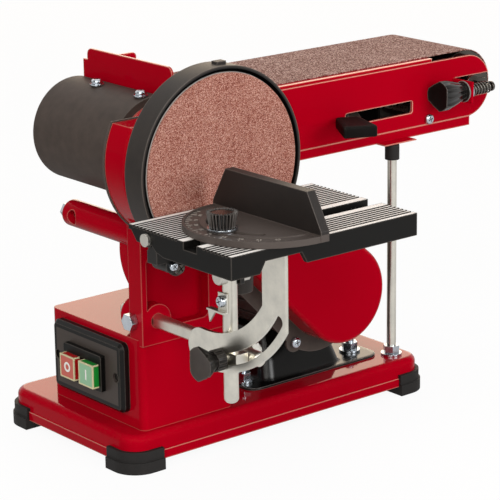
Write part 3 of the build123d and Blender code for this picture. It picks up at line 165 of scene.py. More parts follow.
def srgb(red, green, blue):
    """A colour as a paint chart gives it, for a shader."""
    parts = [part / 255 for part in (red, green, blue)]
    return (*[part / 12.92 if part < 0.04045 else ((part + 0.055) / 1.055) ** 2.4 for part in parts], 1)


def coat(material, *names):
    """Gives CAD nodes a finish."""
    for name in names:
        cad[name].data.materials.clear()
        cad[name].data.materials.append(material)


# Width of the painted edge highlight on the enamel and the radius its edges are rounded to; then the
# colour of that painted highlight and the black painted as shade in the platen's channel.
highlight_width, sheet_round = 0.001, 0.0012
edge_highlight, painted_shade_black = srgb(250, 196, 174), srgb(22, 20, 19)


def enamel(name, peel, edge_sheen, shade_mask=None):
    """Glossy red stove enamel: a little uneven in depth, with a painted highlight along its edges in the
    share that the given function sets, with the fine waves of sprayed paint and a gloss that grows as
    it is seen more from the side.
    Where the shade mask is 1, the sheet is painted black, as painted shade inside a channel."""
    paint = Finish(bpy.data.materials.new(name))
    depth = paint.noise(11, 3)
    waves = paint.noise(700, 1)
    colour = paint.mix(depth, srgb(160, 0, 21), srgb(173, 0, 26))
    # Painted highlight: pale peach mixed in along the edges.
    colour = paint.mix(edge_sheen(paint) * paint.edges(highlight_width), colour, edge_highlight)
    if shade_mask:
        colour = paint.mix(shade_mask(paint), colour, painted_shade_black)
    rough = 0.09 + 0.08 * paint.noise(45, 4)
    normal = paint.bump(waves, peel, 0.0004, paint.rounded(sheet_round))
    slant = paint.add("LayerWeight", sockets={"Blend": 0.5}, out="Facing")
    gloss = paint.add("MapRange", {"interpolation_type": "SMOOTHSTEP"},
                      {"Value": slant, "From Min": 0.36, "From Max": 0.74, "To Max": 0.62})
    return paint.shade({"Base Color": colour, "Roughness": rough, "Normal": normal, "IOR": 1.05,
                        "Coat Weight": gloss, "Coat Roughness": 0.06, "Coat IOR": 1.6})


# The tray's and cover's enamel carries a moderate painted edge highlight.
red_enamel = enamel("red_enamel", 0.05, lambda paint: 0.45)
coat(red_enamel, "base_tray")

# Rubber feet: four moulded corner shoes pushed on under the tray, with a step that shows as a
# ridge; plain black rubber with a dull, slightly dusty skin.
rubber = Finish(bpy.data.materials.new("black_rubber"))
dust = rubber.noise(160, 5, 0.6)
rubber_skin = rubber.shade({
    "Base Color": rubber.mix(dust, srgb(16, 15, 14), srgb(34, 31, 30)),
    "Roughness": 0.55 + 0.2 * dust,
    "IOR": 1.36,
    "Normal": rubber.bump(rubber.noise(2200, 3), 0.25, 0.0003, rubber.rounded(0.0012)),
})
coat(rubber_skin, "rubber_feet", "prop_cap", "drive_belt")

# Pedestal: a cast box for the switch with an open-fronted upright on it, the spindle head and
# the round side arm; it gets the same enamel, a little wavier on the casting's skin.
# On the casting the painted edge highlight is fainter.
cast_enamel = enamel("cast_enamel", 0.11, lambda paint: 0.18)
coat(cast_enamel, "pedestal")


# Bolts, nuts, rods and the quadrant: bright zinc plate with a faint blue and straw passivation on
# steel that was drawn or turned, so fine lines run over it. Some screws and springs are duller or
# blackened instead.
def zinc_plate(name, lines, low=srgb(240, 235, 222), high=srgb(190, 189, 182), rough=0.13):
    """Plated steel between two tones, its lines drawn out along the axis that lines squeezes."""
    zinc = Finish(bpy.data.materials.new(name))
    tint = zinc.noise(90, 6, 0.65)
    drawn = zinc.noise(900, 3, 0.6, lines)
    return zinc.shade({"Base Color": zinc.mix(tint, low, high), "Metallic": 1.0,
                       "Roughness": rough + 0.08 * tint + 0.08 * drawn,
                       "Normal": zinc.bump(drawn, 0.12, 0.0002, zinc.rounded(0.0006))})


zinc_turned = zinc_plate("zinc_turned", (1, 1, 1), srgb(220, 227, 234), srgb(166, 174, 184))
zinc_upright = zinc_plate("zinc_upright", (1, 1, 0.03), rough=0.22)
zinc_across = zinc_plate("zinc_across", (1, 0.03, 1), rough=0.28)
zinc_dull = zinc_plate("zinc_dull", (1, 1, 1), srgb(128, 124, 118), srgb(98, 96, 92), 0.2)
zinc_satin = zinc_plate("zinc_satin", (1, 1, 1), srgb(226, 222, 212), srgb(184, 182, 178), 0.34)
black_steel = zinc_plate("black_steel", (1, 1, 1), srgb(104, 98, 92), srgb(74, 70, 66), 0.14)
coat(zinc_turned, "clamp_bolts", "mount_bolts", "cover_screws", "arm_screws", "prop_nuts")
coat(zinc_satin, "table_bolts", "carrier_bolts", "table_lock_stud")
coat(zinc_upright, "prop_rod", "table_post", "quadrant")
coat(zinc_across, "table_rod", "angle_pointer", "mitre_bar")


# Screw heads: domed pan heads with a cross recess, cold formed and zinc plated; they sit on the
# plain heads of the screws in the lug, the back plate, the arm, the stop, the pointer and the yoke.
def start(make, **how):
    """Adds a primitive on its own, with nothing else selected."""
    if bpy.context.mode != "OBJECT":
        bpy.ops.object.mode_set(mode="OBJECT")
    bpy.ops.object.select_all(action="DESELECT")
    make(**how)
    return bpy.context.object


def pick(piece, test):
    """Goes to edit mode with only the faces selected whose middle and normal pass a test."""
    bpy.ops.object.mode_set(mode="OBJECT")
    for part in (*piece.data.vertices, *piece.data.edges):
        part.select = False
    for face in piece.data.polygons:
        face.select = bool(test(face.center, face.normal))
    bpy.ops.object.mode_set(mode="EDIT")
    bpy.ops.mesh.select_mode(type="FACE")


crease_angle = math.radians(32)


def settle(piece, name, body, material):
    """Freezes a finished piece in the shared frame and gives it its name, shading, finish and body.
    A piece that has its finishes already takes None."""
    bpy.ops.object.mode_set(mode="OBJECT")
    bpy.ops.object.select_all(action="DESELECT")
    piece.select_set(True)
    bpy.context.view_layer.objects.active = piece
    bpy.ops.object.transform_apply(location=True, rotation=True, scale=True)
    bpy.ops.object.mode_set(mode="EDIT")
    bpy.ops.mesh.select_all(action="SELECT")
    bpy.ops.mesh.remove_doubles(threshold=0.000002)
    bpy.ops.mesh.normals_make_consistent(inside=False)
    bpy.ops.object.mode_set(mode="OBJECT")
    bpy.ops.object.shade_smooth_by_angle(angle=crease_angle)
    piece.name = name
    if material:
        piece.data.materials.append(material)
    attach(piece, body)


def copy_of(piece):
    """A second piece like the first, with a mesh of its own."""
    bpy.ops.object.select_all(action="DESELECT")
    piece.select_set(True)
    bpy.context.view_layer.objects.active = piece
    bpy.ops.object.duplicate(linked=False)
    return bpy.context.object


def apply_all(piece):
    """Applies a piece's modifiers in their order."""
    bpy.ops.object.mode_set(mode="OBJECT")
    bpy.context.view_layer.objects.active = piece
    for modifier in list(piece.modifiers):
        bpy.ops.object.modifier_apply(modifier=modifier.name)


head_high = 0.7
pan_head = start(bpy.ops.mesh.primitive_cylinder_add, vertices=40, radius=1, depth=head_high,
                 location=(0, 0, head_high / 2))
bpy.ops.object.transform_apply(location=True, rotation=True, scale=True)
pick(pan_head, lambda middle, normal: normal.z > 0.9)
bpy.ops.mesh.bevel(offset=0.42, segments=6, profile=0.5, affect="EDGES")
bpy.ops.object.mode_set(mode="OBJECT")
cross = start(bpy.ops.mesh.primitive_cube_add, size=1, location=(0, 0, 0.83), scale=(1.15, 0.3, 0.7))
pick(cross, lambda middle, normal: abs(normal.x) > 0.9)
bpy.ops.transform.resize(value=(1, 0.5, 1))
bpy.ops.object.mode_set(mode="OBJECT")
bpy.ops.object.transform_apply(location=True, rotation=True, scale=True)
second = copy_of(cross)
second.rotation_euler = (0, 0, math.pi / 2)
for cutter in (cross, second):
    sink = pan_head.modifiers.new("cross_recess", "BOOLEAN")
    sink.operation = "DIFFERENCE"
    sink.solver = "EXACT"
    sink.object = cutter
bpy.context.view_layer.update()
bpy.ops.object.select_all(action="DESELECT")
pan_head.select_set(True)
apply_all(pan_head)
for cutter in (cross, second):
    bpy.data.objects.remove(cutter)
# Painted shade: the cross recess is dark grey, mottled a little, for the shade inside it.
recess = Finish(bpy.data.materials.new("shaded_recess"))
recess_mottle = recess.noise(500, 3)
pan_head.data.materials.append(zinc_turned)
pan_head.data.materials.append(recess.shade({
    "Base Color": recess.mix(recess_mottle, srgb(24, 22, 20), srgb(58, 54, 50)),
    "Roughness": 0.35 + 0.2 * recess_mottle,
    "Metallic": 0.4,
}))
pick(pan_head, lambda place, normal: place.xy.length < 0.6
     and (abs(normal.z) < 0.4 or 0.4 < place.z < 0.6))
pan_head.active_material_index = 1
bpy.ops.object.material_slot_assign()
bpy.ops.object.mode_set(mode="OBJECT")

to_front = Quaternion((1, 0, 0), math.pi / 2)
to_left = Quaternion((0, 1, 0), -math.pi / 2)
to_top = Quaternion()
for name, body, place, lean, turn, radius, height in (
        ("lug_screw_head", "base", (-0.17946, -0.0312, 0.18503), to_front, 0.6, 0.0052, 0.006),
        ("plate_screw_head", "base", (-0.0215, 0.0102, 0.077), to_front, 0.2, 0.0047, 0.0039),
        ("arm_screw_head_1", "belt_arm", (-0.0865, 0.0345, 0.248), to_front, 0.9, 0.0047, 0.0039),
        ("arm_screw_head_2", "belt_arm", (0.1591, 0.0345, 0.243), to_front, 0.3, 0.0047, 0.0039),
        ("stop_screw_head_1", "belt_arm", (-0.1535, 0.1065, 0.3092), to_top, 0.5, 0.0047, 0.0039),
        ("stop_screw_head_2", "belt_arm", (-0.1535, 0.0455, 0.3092), to_top, 1.1, 0.0047, 0.0039),
        ("pointer_screw_head", "table_carrier", (-0.1847, -0.0955, 0.173), to_left, 0.4, 0.0047, 0.0039),
        ("yoke_screw_head", "table_carrier", (-0.2225, -0.0825, 0.206), to_front, 0.7, 0.0037, 0.0037)):
    head = copy_of(pan_head)
    head.rotation_mode = "QUATERNION"
    head.rotation_quaternion = lean @ Quaternion((0, 0, 1), turn)
    head.scale = (radius, radius, height / head_high)
    head.location = place
    if name == "lug_screw_head":
        head.data.materials[0] = black_steel
    settle(head, name, body, None)
bpy.data.objects.remove(pan_head)


# Switch: a moulded black housing on the pedestal's side, a raised frame and two push buttons with
# pale faces under a clear cover, whose edges show as cream lines; moulded O and I marks.
def plastic(name, low, high, rough, grain, ior=1.42, face=None, edge_glint=None, soft=0.0007):
    """Moulded plastic or a coat of paint, with a painted highlight along its edges where a colour for it
    is given; a face has a mask and a colour of its own."""
    moulded = Finish(bpy.data.materials.new(name))
    shade = 0.6 * moulded.noise(120, 4) + 0.4 * moulded.noise(28, 5, 0.65)
    colour = moulded.mix(shade, low, high)
    if edge_glint:
        # Painted highlight: the edges are mixed toward the given pale colour.
        colour = moulded.mix(0.6 * moulded.edges(0.0009), colour, edge_glint)
    if face:
        mask, tone = face
        colour = moulded.mix(mask(moulded), colour, tone)
    return moulded.shade({
        "Base Color": colour,
        "Roughness": rough + 0.1 * shade,
        "IOR": ior,
        "Normal": moulded.bump(moulded.noise(1900, 2), grain, 0.0003, moulded.rounded(soft)),
    })


button_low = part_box("stop_button")[0].x
panel_low, panel_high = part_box("switch_housing")
border = 0.0062


def panel(moulded):
    """The middle of the switch's plate, inside its dark border."""
    across, up = moulded.along("Y"), moulded.along("Z")
    return (across > panel_low.y + border) * (across < panel_high.y - border) \
        * (up > panel_low.z + border) * (up < panel_high.z - border)


def button_face(moulded):
    """The flat front of a push button."""
    return moulded.along("X") < button_low + 0.0005


# The pale edge colours of the switch's black plastics are painted highlights.
switch_black = plastic("switch_black", srgb(9, 8, 8), srgb(16, 15, 14), 0.34, 0.12, 1.28,
                       edge_glint=srgb(126, 118, 111), face=(panel, srgb(66, 59, 55)))
switch_dark = plastic("switch_dark", srgb(6, 6, 5), srgb(12, 11, 10), 0.34, 0.1, 1.25,
                      edge_glint=srgb(88, 82, 77))
stop_red = plastic("stop_red", srgb(168, 12, 18), srgb(184, 22, 24), 0.24, 0.03,
                   face=(button_face, srgb(196, 92, 78)))
start_green = plastic("start_green", srgb(14, 128, 40), srgb(28, 142, 52), 0.24, 0.03,
                      face=(button_face, srgb(142, 188, 152)))
button_cover = plastic("button_cover", srgb(206, 196, 150), srgb(222, 214, 176), 0.2, 0.02)
mark_white = plastic("mark_white", srgb(236, 234, 230), srgb(246, 245, 242), 0.35, 0.03)
coat(switch_black, "switch_housing")
coat(switch_dark, "switch_bezel", "switch_screws", "cable_gland")
coat(stop_red, "stop_button")
coat(start_green, "start_button")

for name, body, slot in (("stop_button", "stop_push", "red_plastic"),
                         ("start_button", "start_push", "green_plastic")):
    low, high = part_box(name)
    middle, size = (low + high) / 2, high - low
    edge = start(bpy.ops.mesh.primitive_cube_add, size=1, location=(low.x + 0.0042, middle.y, middle.z),
                 scale=(0.0088, size.y + 0.0005, size.z + 0.0005))
    bpy.ops.object.transform_apply(location=True, rotation=True, scale=True)
    pick(edge, lambda place, normal: normal.x < 0.9)
    bpy.ops.mesh.inset(thickness=0.0013, use_individual=True)
    bpy.ops.mesh.delete(type="FACE")
    pick(edge, lambda place, normal: normal.x > 0.9)
    bpy.ops.mesh.delete(type="FACE")
    bpy.ops.object.mode_set(mode="OBJECT")
    skin = edge.modifiers.new("skin", "SOLIDIFY")
    skin.thickness = 0.0004
    skin.offset = -1
    apply_all(edge)
    settle(edge, name + "_cover_edges", body, button_cover)
    if name == "stop_button":
        mark = start(bpy.ops.mesh.primitive_circle_add, vertices=40, radius=0.0044, fill_type="NGON",
                     location=(low.x - 0.0001, middle.y, middle.z), rotation=(0, -math.pi / 2, 0))
        bpy.ops.object.mode_set(mode="EDIT")
        bpy.ops.mesh.inset(thickness=0.002)
        bpy.ops.mesh.delete(type="FACE")
    else:
        mark = start(bpy.ops.mesh.primitive_plane_add, size=1, rotation=(0, -math.pi / 2, 0),
                     location=(low.x - 0.0001, middle.y, middle.z))
        mark.scale = (0.009, 0.0018, 1)
    bpy.ops.object.mode_set(mode="OBJECT")
    bpy.ops.object.transform_apply(location=True, rotation=True, scale=True)
    bpy.ops.object.mode_set(mode="EDIT")
    bpy.ops.mesh.select_all(action="SELECT")
    bpy.ops.mesh.extrude_region_move(TRANSFORM_OT_translate={"value": (0.0003, 0, 0)})
    settle(mark, name + "_mark", body, mark_white)

# Motor: a ribbed can with a pressed fan cap, in charcoal paint that the drum's hood and the cover's
# back plate wear too, on a mount pressed from sheet, glossy black and bolted to the tray.
# The pale edge colours of these two black finishes are painted highlights.
charcoal = plastic("charcoal_coat", srgb(46, 40, 37), srgb(86, 75, 69), 0.5, 0.22, 1.28,
                   edge_glint=srgb(100, 92, 87))
black_gloss = plastic("black_gloss", srgb(7, 6, 6), srgb(14, 13, 12), 0.12, 0.03, 1.4,
                      edge_glint=srgb(120, 114, 110), soft=0.005)
coat(charcoal, "motor_housing", "motor_fan_cap", "drum_hood", "cover_back_plate")
coat(black_gloss, "motor_mount")

# Drive inside the cover, the spindle and the drums: turned steel and aluminium. The disc's plate
# is blackened, with a painted highlight on its edge in front.
bright_steel = zinc_plate("bright_steel", (1, 0.05, 1))
coat(bright_steel, "motor_shaft", "motor_pulley", "driven_pulley", "spindle", "spindle_bearings",
     "drive_drum")
plate_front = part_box("disc_back")[0].y


def plate_edge(moulded):
    """The front of the disc's plate, of which only the edge shows round the abrasive."""
    return moulded.along("Y") < plate_front + 0.0006


# Painted highlight: the plate's front edge is pale grey round the abrasive.
coat(plastic("disc_plate", srgb(16, 15, 14), srgb(26, 24, 23), 0.4, 0.1,
             face=(plate_edge, srgb(150, 144, 140))), "disc_back")

# Disc guard: a steel ring round the disc with a dust chute, screwed to the pedestal by its lug and
# painted dark, with a painted highlight on its edges; its inner wall is painted black as the shade in
# the gap round the disc.
spindle_x, spindle_z, guard_bore = -0.1465, 0.266, 0.0775


def inside_guard(moulded):
    """The guard's inner wall, found by its distance from the spindle."""
    across, up = moulded.along("X") - spindle_x, moulded.along("Z") - spindle_z
    return across * across + up * up < (guard_bore + 0.0009) ** 2


coat(plastic("guard_coat", srgb(26, 23, 21), srgb(54, 47, 43), 0.42, 0.2, 1.33, edge_glint=srgb(112, 104, 98),
             face=(inside_guard, srgb(7, 6, 6))), "disc_guard")

# Pulley cover: a deep drawn steel shell over both pulleys, screwed on and finished in the same red
# enamel as the tray.
coat(red_enamel, "pulley_cover")

# Belt arm: steel sheet folded and screwed together under the red enamel, with a strong painted highlight
# along the plate's cut edges; the platen's channel below its top flange is painted black as shade. The
# idler's steel is blackened.
plate_face, channel_top = 0.0342, 0.288
# Painted highlight: strong on the front plate's own edges, none on its tab.
arm_enamel = enamel("arm_enamel", 0.05, lambda paint: 0.75 * (paint.along("Y") > plate_face))
# Painted shade: the platen is black below its top flange, where its channel lies in shade.
platen_enamel = enamel("platen_enamel", 0.05, lambda paint: 0.9,
                       lambda paint: paint.along("Z") < channel_top)
coat(arm_enamel, "arm_front_plate")
coat(red_enamel, "belt_lower_guard", "work_stop")
coat(platen_enamel, "belt_platen")
coat(black_steel, "idler_roller", "idler_axle", "idler_fork")

# Springs of the idler: two compression coils wound from round wire. In the tool the fork and the
# tracking link press them shorter as the tension is let off; these coils keep one length.
for name, finish, turns, coil_r, wire in (("tension_spring", black_steel, 5, 0.0084, 0.0016),
                                          ("tracking_spring", zinc_dull, 7, 0.005, 0.0014)):
    low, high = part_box(name)
    middle, long = (low + high) / 2, high.x - low.x
    spring = start(bpy.ops.mesh.primitive_circle_add, vertices=14, radius=wire / 2,
                   location=(0, coil_r, 0))
    bpy.ops.object.transform_apply(location=True, rotation=True, scale=True)
    winding = spring.modifiers.new("winding", "SCREW")
    winding.axis = "X"
    winding.screw_offset = (long - wire) / turns
    winding.iterations = turns
    winding.steps = winding.render_steps = 32
    apply_all(spring)
    bpy.ops.object.mode_set(mode="EDIT")
    bpy.ops.mesh.select_all(action="SELECT")
    bpy.ops.mesh.fill_holes(sides=0)
    bpy.ops.object.mode_set(mode="OBJECT")
    spring.location = (low.x + wire / 2, middle.y, middle.z)
    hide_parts(name)
    settle(spring, name + "_coil", "belt_arm", finish)
    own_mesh(spring)


# Abrasive cloth: brown aluminium oxide grains in resin on cloth. The disc is stuck to its plate and
# the belt runs taut over the drum and the idler.
def abrasive(name, grit, low, mid, high):
    """Grains of three tones with small clumps and worn patches among them."""
    cloth = Finish(bpy.data.materials.new(name))
    grains = cloth.add("TexVoronoi", sockets={"Vector": cloth.place(), "Scale": grit}, out="Color")
    level = cloth.add("SeparateColor", sockets={"Color": grains})
    clumps = cloth.noise(0.5 * grit, 2, 0.6)
    patches = cloth.noise(35, 4, 0.6)
    blend = 0.72 * level + 0.1 * clumps + 0.18 * patches
    colour = cloth.ramp(blend, (0.16, low), (0.5, mid), (0.84, high))
    return cloth.shade({"Base Color": colour, "Roughness": 0.85, "IOR": 1.36,
                        "Normal": cloth.bump(level + clumps, 0.5, 0.0003)})


disc_cloth = abrasive("disc_cloth", 2100, srgb(104, 40, 28), srgb(150, 90, 75), srgb(206, 164, 150))
belt_cloth = abrasive("belt_cloth", 1150, srgb(80, 38, 30), srgb(132, 88, 78), srgb(214, 184, 174))
coat(disc_cloth, "abrasive_disc")
coat(belt_cloth, "sanding_belt")

# Tension lever's grip: black plastic moulded over the lever's end, wider in front, with rounded
# edges and a shallow hollow on top.
# The grip's pale edge colour is a painted highlight.
grip_black = plastic("grip_black", srgb(12, 10, 9), srgb(22, 19, 18), 0.5, 0.12, 1.14,
                     edge_glint=srgb(112, 104, 98))
coat(grip_black, "tension_lever")
grip = start(bpy.ops.mesh.primitive_cube_add, size=1)
grip.scale = (0.026, 0.041, 0.0105)
bpy.ops.object.transform_apply(location=True, rotation=True, scale=True)
pick(grip, lambda place, normal: normal.y < -0.9)
bpy.ops.transform.resize(value=(1.18, 1, 1), center_override=(0, 0, 0))
pick(grip, lambda place, normal: normal.y > 0.9)
bpy.ops.transform.resize(value=(0.82, 1, 1), center_override=(0, 0, 0))
bpy.ops.mesh.select_all(action="SELECT")
bpy.ops.mesh.bevel(offset=0.0022, segments=3, affect="EDGES")
pick(grip, lambda place, normal: normal.z > 0.95)
bpy.ops.mesh.inset(thickness=0.0028)
bpy.ops.transform.translate(value=(0, 0, -0.0006))
bpy.ops.object.mode_set(mode="OBJECT")
grip.rotation_euler = (0, 0, math.radians(-25))
grip.location = (0.0467, 0.0094, 0.257)
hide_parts("lever_handle")
settle(grip, "tension_grip", "lever", grip_black)


# Lobed knobs: three-lobed black plastic, glossy on the tracking screw and with a paler grey face on the
# table's lock, moulded on their studs; grooves run along the sides but stop short of the face.
def star_knob(radius, lobes_long, collar_long):
    """A three-lobed moulded knob with grooved sides, its face up, on a round collar."""
    groove_top = -0.3 * lobes_long
    knob = start(bpy.ops.mesh.primitive_cylinder_add, vertices=72, radius=radius, depth=lobes_long,
                 location=(0, 0, -lobes_long / 2))
    bpy.ops.object.transform_apply(location=True, rotation=True, scale=True)
    for bound, depth in ((0.1, 0.05), (-0.35, 0.06), (-0.75, 0.05)):
        pick(knob, lambda place, normal: abs(normal.z) < 0.5
             and math.cos(3 * math.atan2(place.y, place.x)) < bound)
        bpy.ops.transform.shrink_fatten(value=-depth * radius)
    bpy.ops.mesh.select_all(action="SELECT")
    bpy.ops.mesh.bisect(plane_co=(0, 0, groove_top), plane_no=(0, 0, 1))
    pick(knob, lambda place, normal: abs(normal.z) < 0.5 and place.z < groove_top
         and math.floor(math.atan2(place.y, place.x) / math.radians(5)) % 6 < 2)
    bpy.ops.transform.shrink_fatten(value=-0.06 * radius)
    pick(knob, lambda place, normal: normal.z < -0.9)
    bpy.ops.transform.resize(value=(0.62, 0.62, 1), center_override=(0, 0, -lobes_long))
    bpy.ops.mesh.inset(thickness=0.0008)
    pick(knob, lambda place, normal: normal.z < -0.9 and place.length < 1.02 * lobes_long)
    bpy.ops.mesh.extrude_region_move(TRANSFORM_OT_translate={"value": (0, 0, -collar_long)})
    pick(knob, lambda place, normal: normal.z > 0.9)
    bpy.ops.mesh.inset(thickness=0.14 * radius)
    bpy.ops.transform.translate(value=(0, 0, -0.05 * radius))
    bpy.ops.object.mode_set(mode="OBJECT")
    soft = knob.modifiers.new("soft_edges", "BEVEL")
    soft.width = 0.0004
    soft.segments = 2
    soft.angle_limit = math.radians(28)
    apply_all(knob)
    return knob


# The pale edge colours of these knob finishes, also worn by the yoke and the lock's collar, are painted
# highlights.
knob_black = plastic("knob_black", srgb(13, 11, 10), srgb(26, 23, 21), 0.36, 0.1, 1.36,
                     edge_glint=srgb(84, 78, 74))
knob_gloss = plastic("knob_gloss", srgb(10, 9, 8), srgb(20, 18, 17), 0.12, 0.03, 1.5,
                     edge_glint=srgb(104, 98, 94))
knob_grey_face = plastic("knob_grey_face", srgb(46, 41, 38), srgb(74, 66, 62), 0.45, 0.12, 1.3,
                    edge_glint=srgb(104, 98, 94))
tracking_y, tracking_z = 0.0205, 0.266
lock_y, lock_z = -0.0955, 0.1262
for name, node, body, finish, face_finish, place, turn, sizes in (
        ("tracking_star", "tracking_knob", "tracking", knob_gloss, grip_black,
         (0.1577, tracking_y, tracking_z), 90, (0.0138, 0.027, 0.0032)),
        ("lock_star", "table_lock_knob", "table_lock", knob_black, knob_grey_face,
         (-0.2088, lock_y, lock_z), 270, (0.0142, 0.0108, 0.0022))):
    star = star_knob(*sizes)
    star.rotation_mode = "QUATERNION"
    star.rotation_quaternion = to_left @ Quaternion((0, 0, 1), math.radians(turn))
    star.location = place
    star.data.materials.append(finish)
    star.data.materials.append(face_finish)
    pick(star, lambda place, normal: normal.z > 0.9)
    star.active_material_index = 1
    bpy.ops.object.material_slot_assign()
    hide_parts(node)
    settle(star, name, body, None)

# Collar of the lock: a black moulded sleeve between the knob and the quadrant, with gripping flutes
# round it and chamfered ends.
bush = start(bpy.ops.mesh.primitive_cylinder_add, vertices=48, radius=0.0088, depth=0.0086)
pick(bush, lambda place, normal: abs(normal.z) < 0.1
     and math.floor(math.atan2(place.y, place.x) / math.radians(7.5)) % 4 < 2)
bpy.ops.mesh.inset(thickness=0.0001, use_boundary=True)
bpy.ops.transform.shrink_fatten(value=-0.0008)
pick(bush, lambda place, normal: abs(normal.z) > 0.9)
bpy.ops.mesh.bevel(offset=0.0006, segments=2, affect="EDGES")
bpy.ops.object.mode_set(mode="OBJECT")
bush.rotation_euler = (0, -math.pi / 2, 0)
bush.location = (-0.1912, lock_y, lock_z)
settle(bush, "lock_bush", "table_lock", knob_black)

# Tracking washer: a large thin steel plate behind the knob, which turns with it, black with a painted
# highlight along its rim.
washer = start(bpy.ops.mesh.primitive_cylinder_add, vertices=64, radius=0.0098, depth=0.0013,
               rotation=(0, math.pi / 2, 0), location=(0.189, tracking_y, tracking_z))
bpy.ops.object.transform_apply(location=True, rotation=True, scale=True)
pick(washer, lambda place, normal: abs(normal.x) > 0.9)
bpy.ops.mesh.bevel(offset=0.0003, segments=2, affect="EDGES")
pick(washer, lambda place, normal: abs(normal.x) > 0.99)
bpy.ops.mesh.inset(thickness=0.006)
bpy.ops.mesh.bridge_edge_loops()
washer_black = plastic("washer_black", srgb(20, 18, 17), srgb(34, 31, 29), 0.25, 0.05, 1.5,
                       edge_glint=srgb(214, 208, 202))
settle(washer, "tracking_washer", "tracking", washer_black)

# Tracking link: a flat eye on the idler's axle with a round nose that the screw pulls, black oxide
# on steel.
nose_x, nose_long = 0.22435, 0.0025
nose = start(bpy.ops.mesh.primitive_cylinder_add, vertices=40, radius=0.0046, depth=nose_long,
             rotation=(0, math.pi / 2, 0), location=(nose_x, tracking_y, tracking_z))
bpy.ops.object.transform_apply(location=True, rotation=True, scale=True)
pick(nose, lambda place, normal: abs(normal.x) > 0.9)
bpy.ops.mesh.bevel(offset=0.0004, segments=2, affect="EDGES")
pick(nose, lambda place, normal: abs(normal.x) > 0.99)
bpy.ops.mesh.inset(thickness=0.001)
bpy.ops.mesh.bridge_edge_loops()
strap = start(bpy.ops.mesh.primitive_cube_add, size=1)
strap.scale = (nose_long, 0.0116, 0.0062)
strap.location = (nose_x, 0.0299, tracking_z)
bpy.ops.object.transform_apply(location=True, rotation=True, scale=True)
eye = start(bpy.ops.mesh.primitive_cylinder_add, vertices=48, radius=0.0098, depth=0.0038,
            rotation=(math.pi / 2, 0, 0), location=(0.2124, 0.0323, tracking_z))
bpy.ops.object.transform_apply(location=True, rotation=True, scale=True)
pick(eye, lambda place, normal: normal.x > 0.8)
bpy.ops.transform.translate(value=(0.0075, 0, 0))
pick(eye, lambda place, normal: abs(normal.y) > 0.9)
bpy.ops.mesh.bevel(offset=0.0005, segments=2, affect="EDGES")
bpy.ops.object.mode_set(mode="OBJECT")
for part in (nose, strap, eye):
    part.select_set(True)
bpy.context.view_layer.objects.active = eye
bpy.ops.object.join()
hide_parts("tracking_link")
settle(eye, "tracking_eye", "idler_carriage", black_steel)

# Tracking screw: a blackened steel stud through the knob and the spring, its domed end just through
# the link's nose.
screw_from, screw_to = 0.1837, 0.2262
stud = start(bpy.ops.mesh.primitive_cylinder_add, vertices=32, radius=0.003,
             depth=screw_to - screw_from, rotation=(0, math.pi / 2, 0),
             location=((screw_from + screw_to) / 2, tracking_y, tracking_z))
bpy.ops.object.transform_apply(location=True, rotation=True, scale=True)
pick(stud, lambda place, normal: abs(normal.x) > 0.9)
bpy.ops.mesh.bevel(offset=0.0008, segments=4, affect="EDGES")
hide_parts("tracking_screw")
settle(stud, "tracking_stud", "tracking", black_steel)

# Table: one aluminium casting with fine ribs, coated black and then ground, so that the rib tops are
# bare and bright. It tilts on the black yoke below it.
table_top_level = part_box("table")[1].z
bed = Finish(bpy.data.materials.new("table_casting"))
ground = bed.along("Z") > table_top_level - 0.0002
lines = bed.noise(900, 3, 0.6, (0.04, 1, 1))
skin = bed.noise(1400, 3)
highlight_and_coat_edge = bed.edges(0.0009)
cast_black = bed.mix(skin, srgb(9, 8, 8), srgb(17, 16, 14))
# Painted highlight: the black coat turns grey along its edges; on the rib tops the same mask narrows the
# bare strip.
black_with_edge_highlight = bed.mix(0.55 * highlight_and_coat_edge, cast_black, srgb(96, 90, 85))
rib_top = bed.mix(highlight_and_coat_edge, srgb(240, 236, 232), srgb(24, 22, 20))
bed_finish = bed.shade({
    "Base Color": bed.mix(ground, black_with_edge_highlight, rib_top),
    "Metallic": 0.1 * ground,
    "Roughness": 0.46 + 0.1 * ground,
    "IOR": 1.25,
    "Normal": bed.bump(lines + skin, 0.12, 0.0003, bed.rounded(0.0005)),
})
coat(bed_finish, "table")
coat(knob_black, "table_yoke")

# Mitre gauge: a die-cast head, black coated, with a protractor and a fence. The ticks and numbers
# stand on the lowered band of its quadrant, their tops wiped bare; a knurled knob clamps it.
fence_foot = 0.2429


def protractor(moulded):
    """The flat quadrant below the fence."""
    return moulded.along("Z") < fence_foot


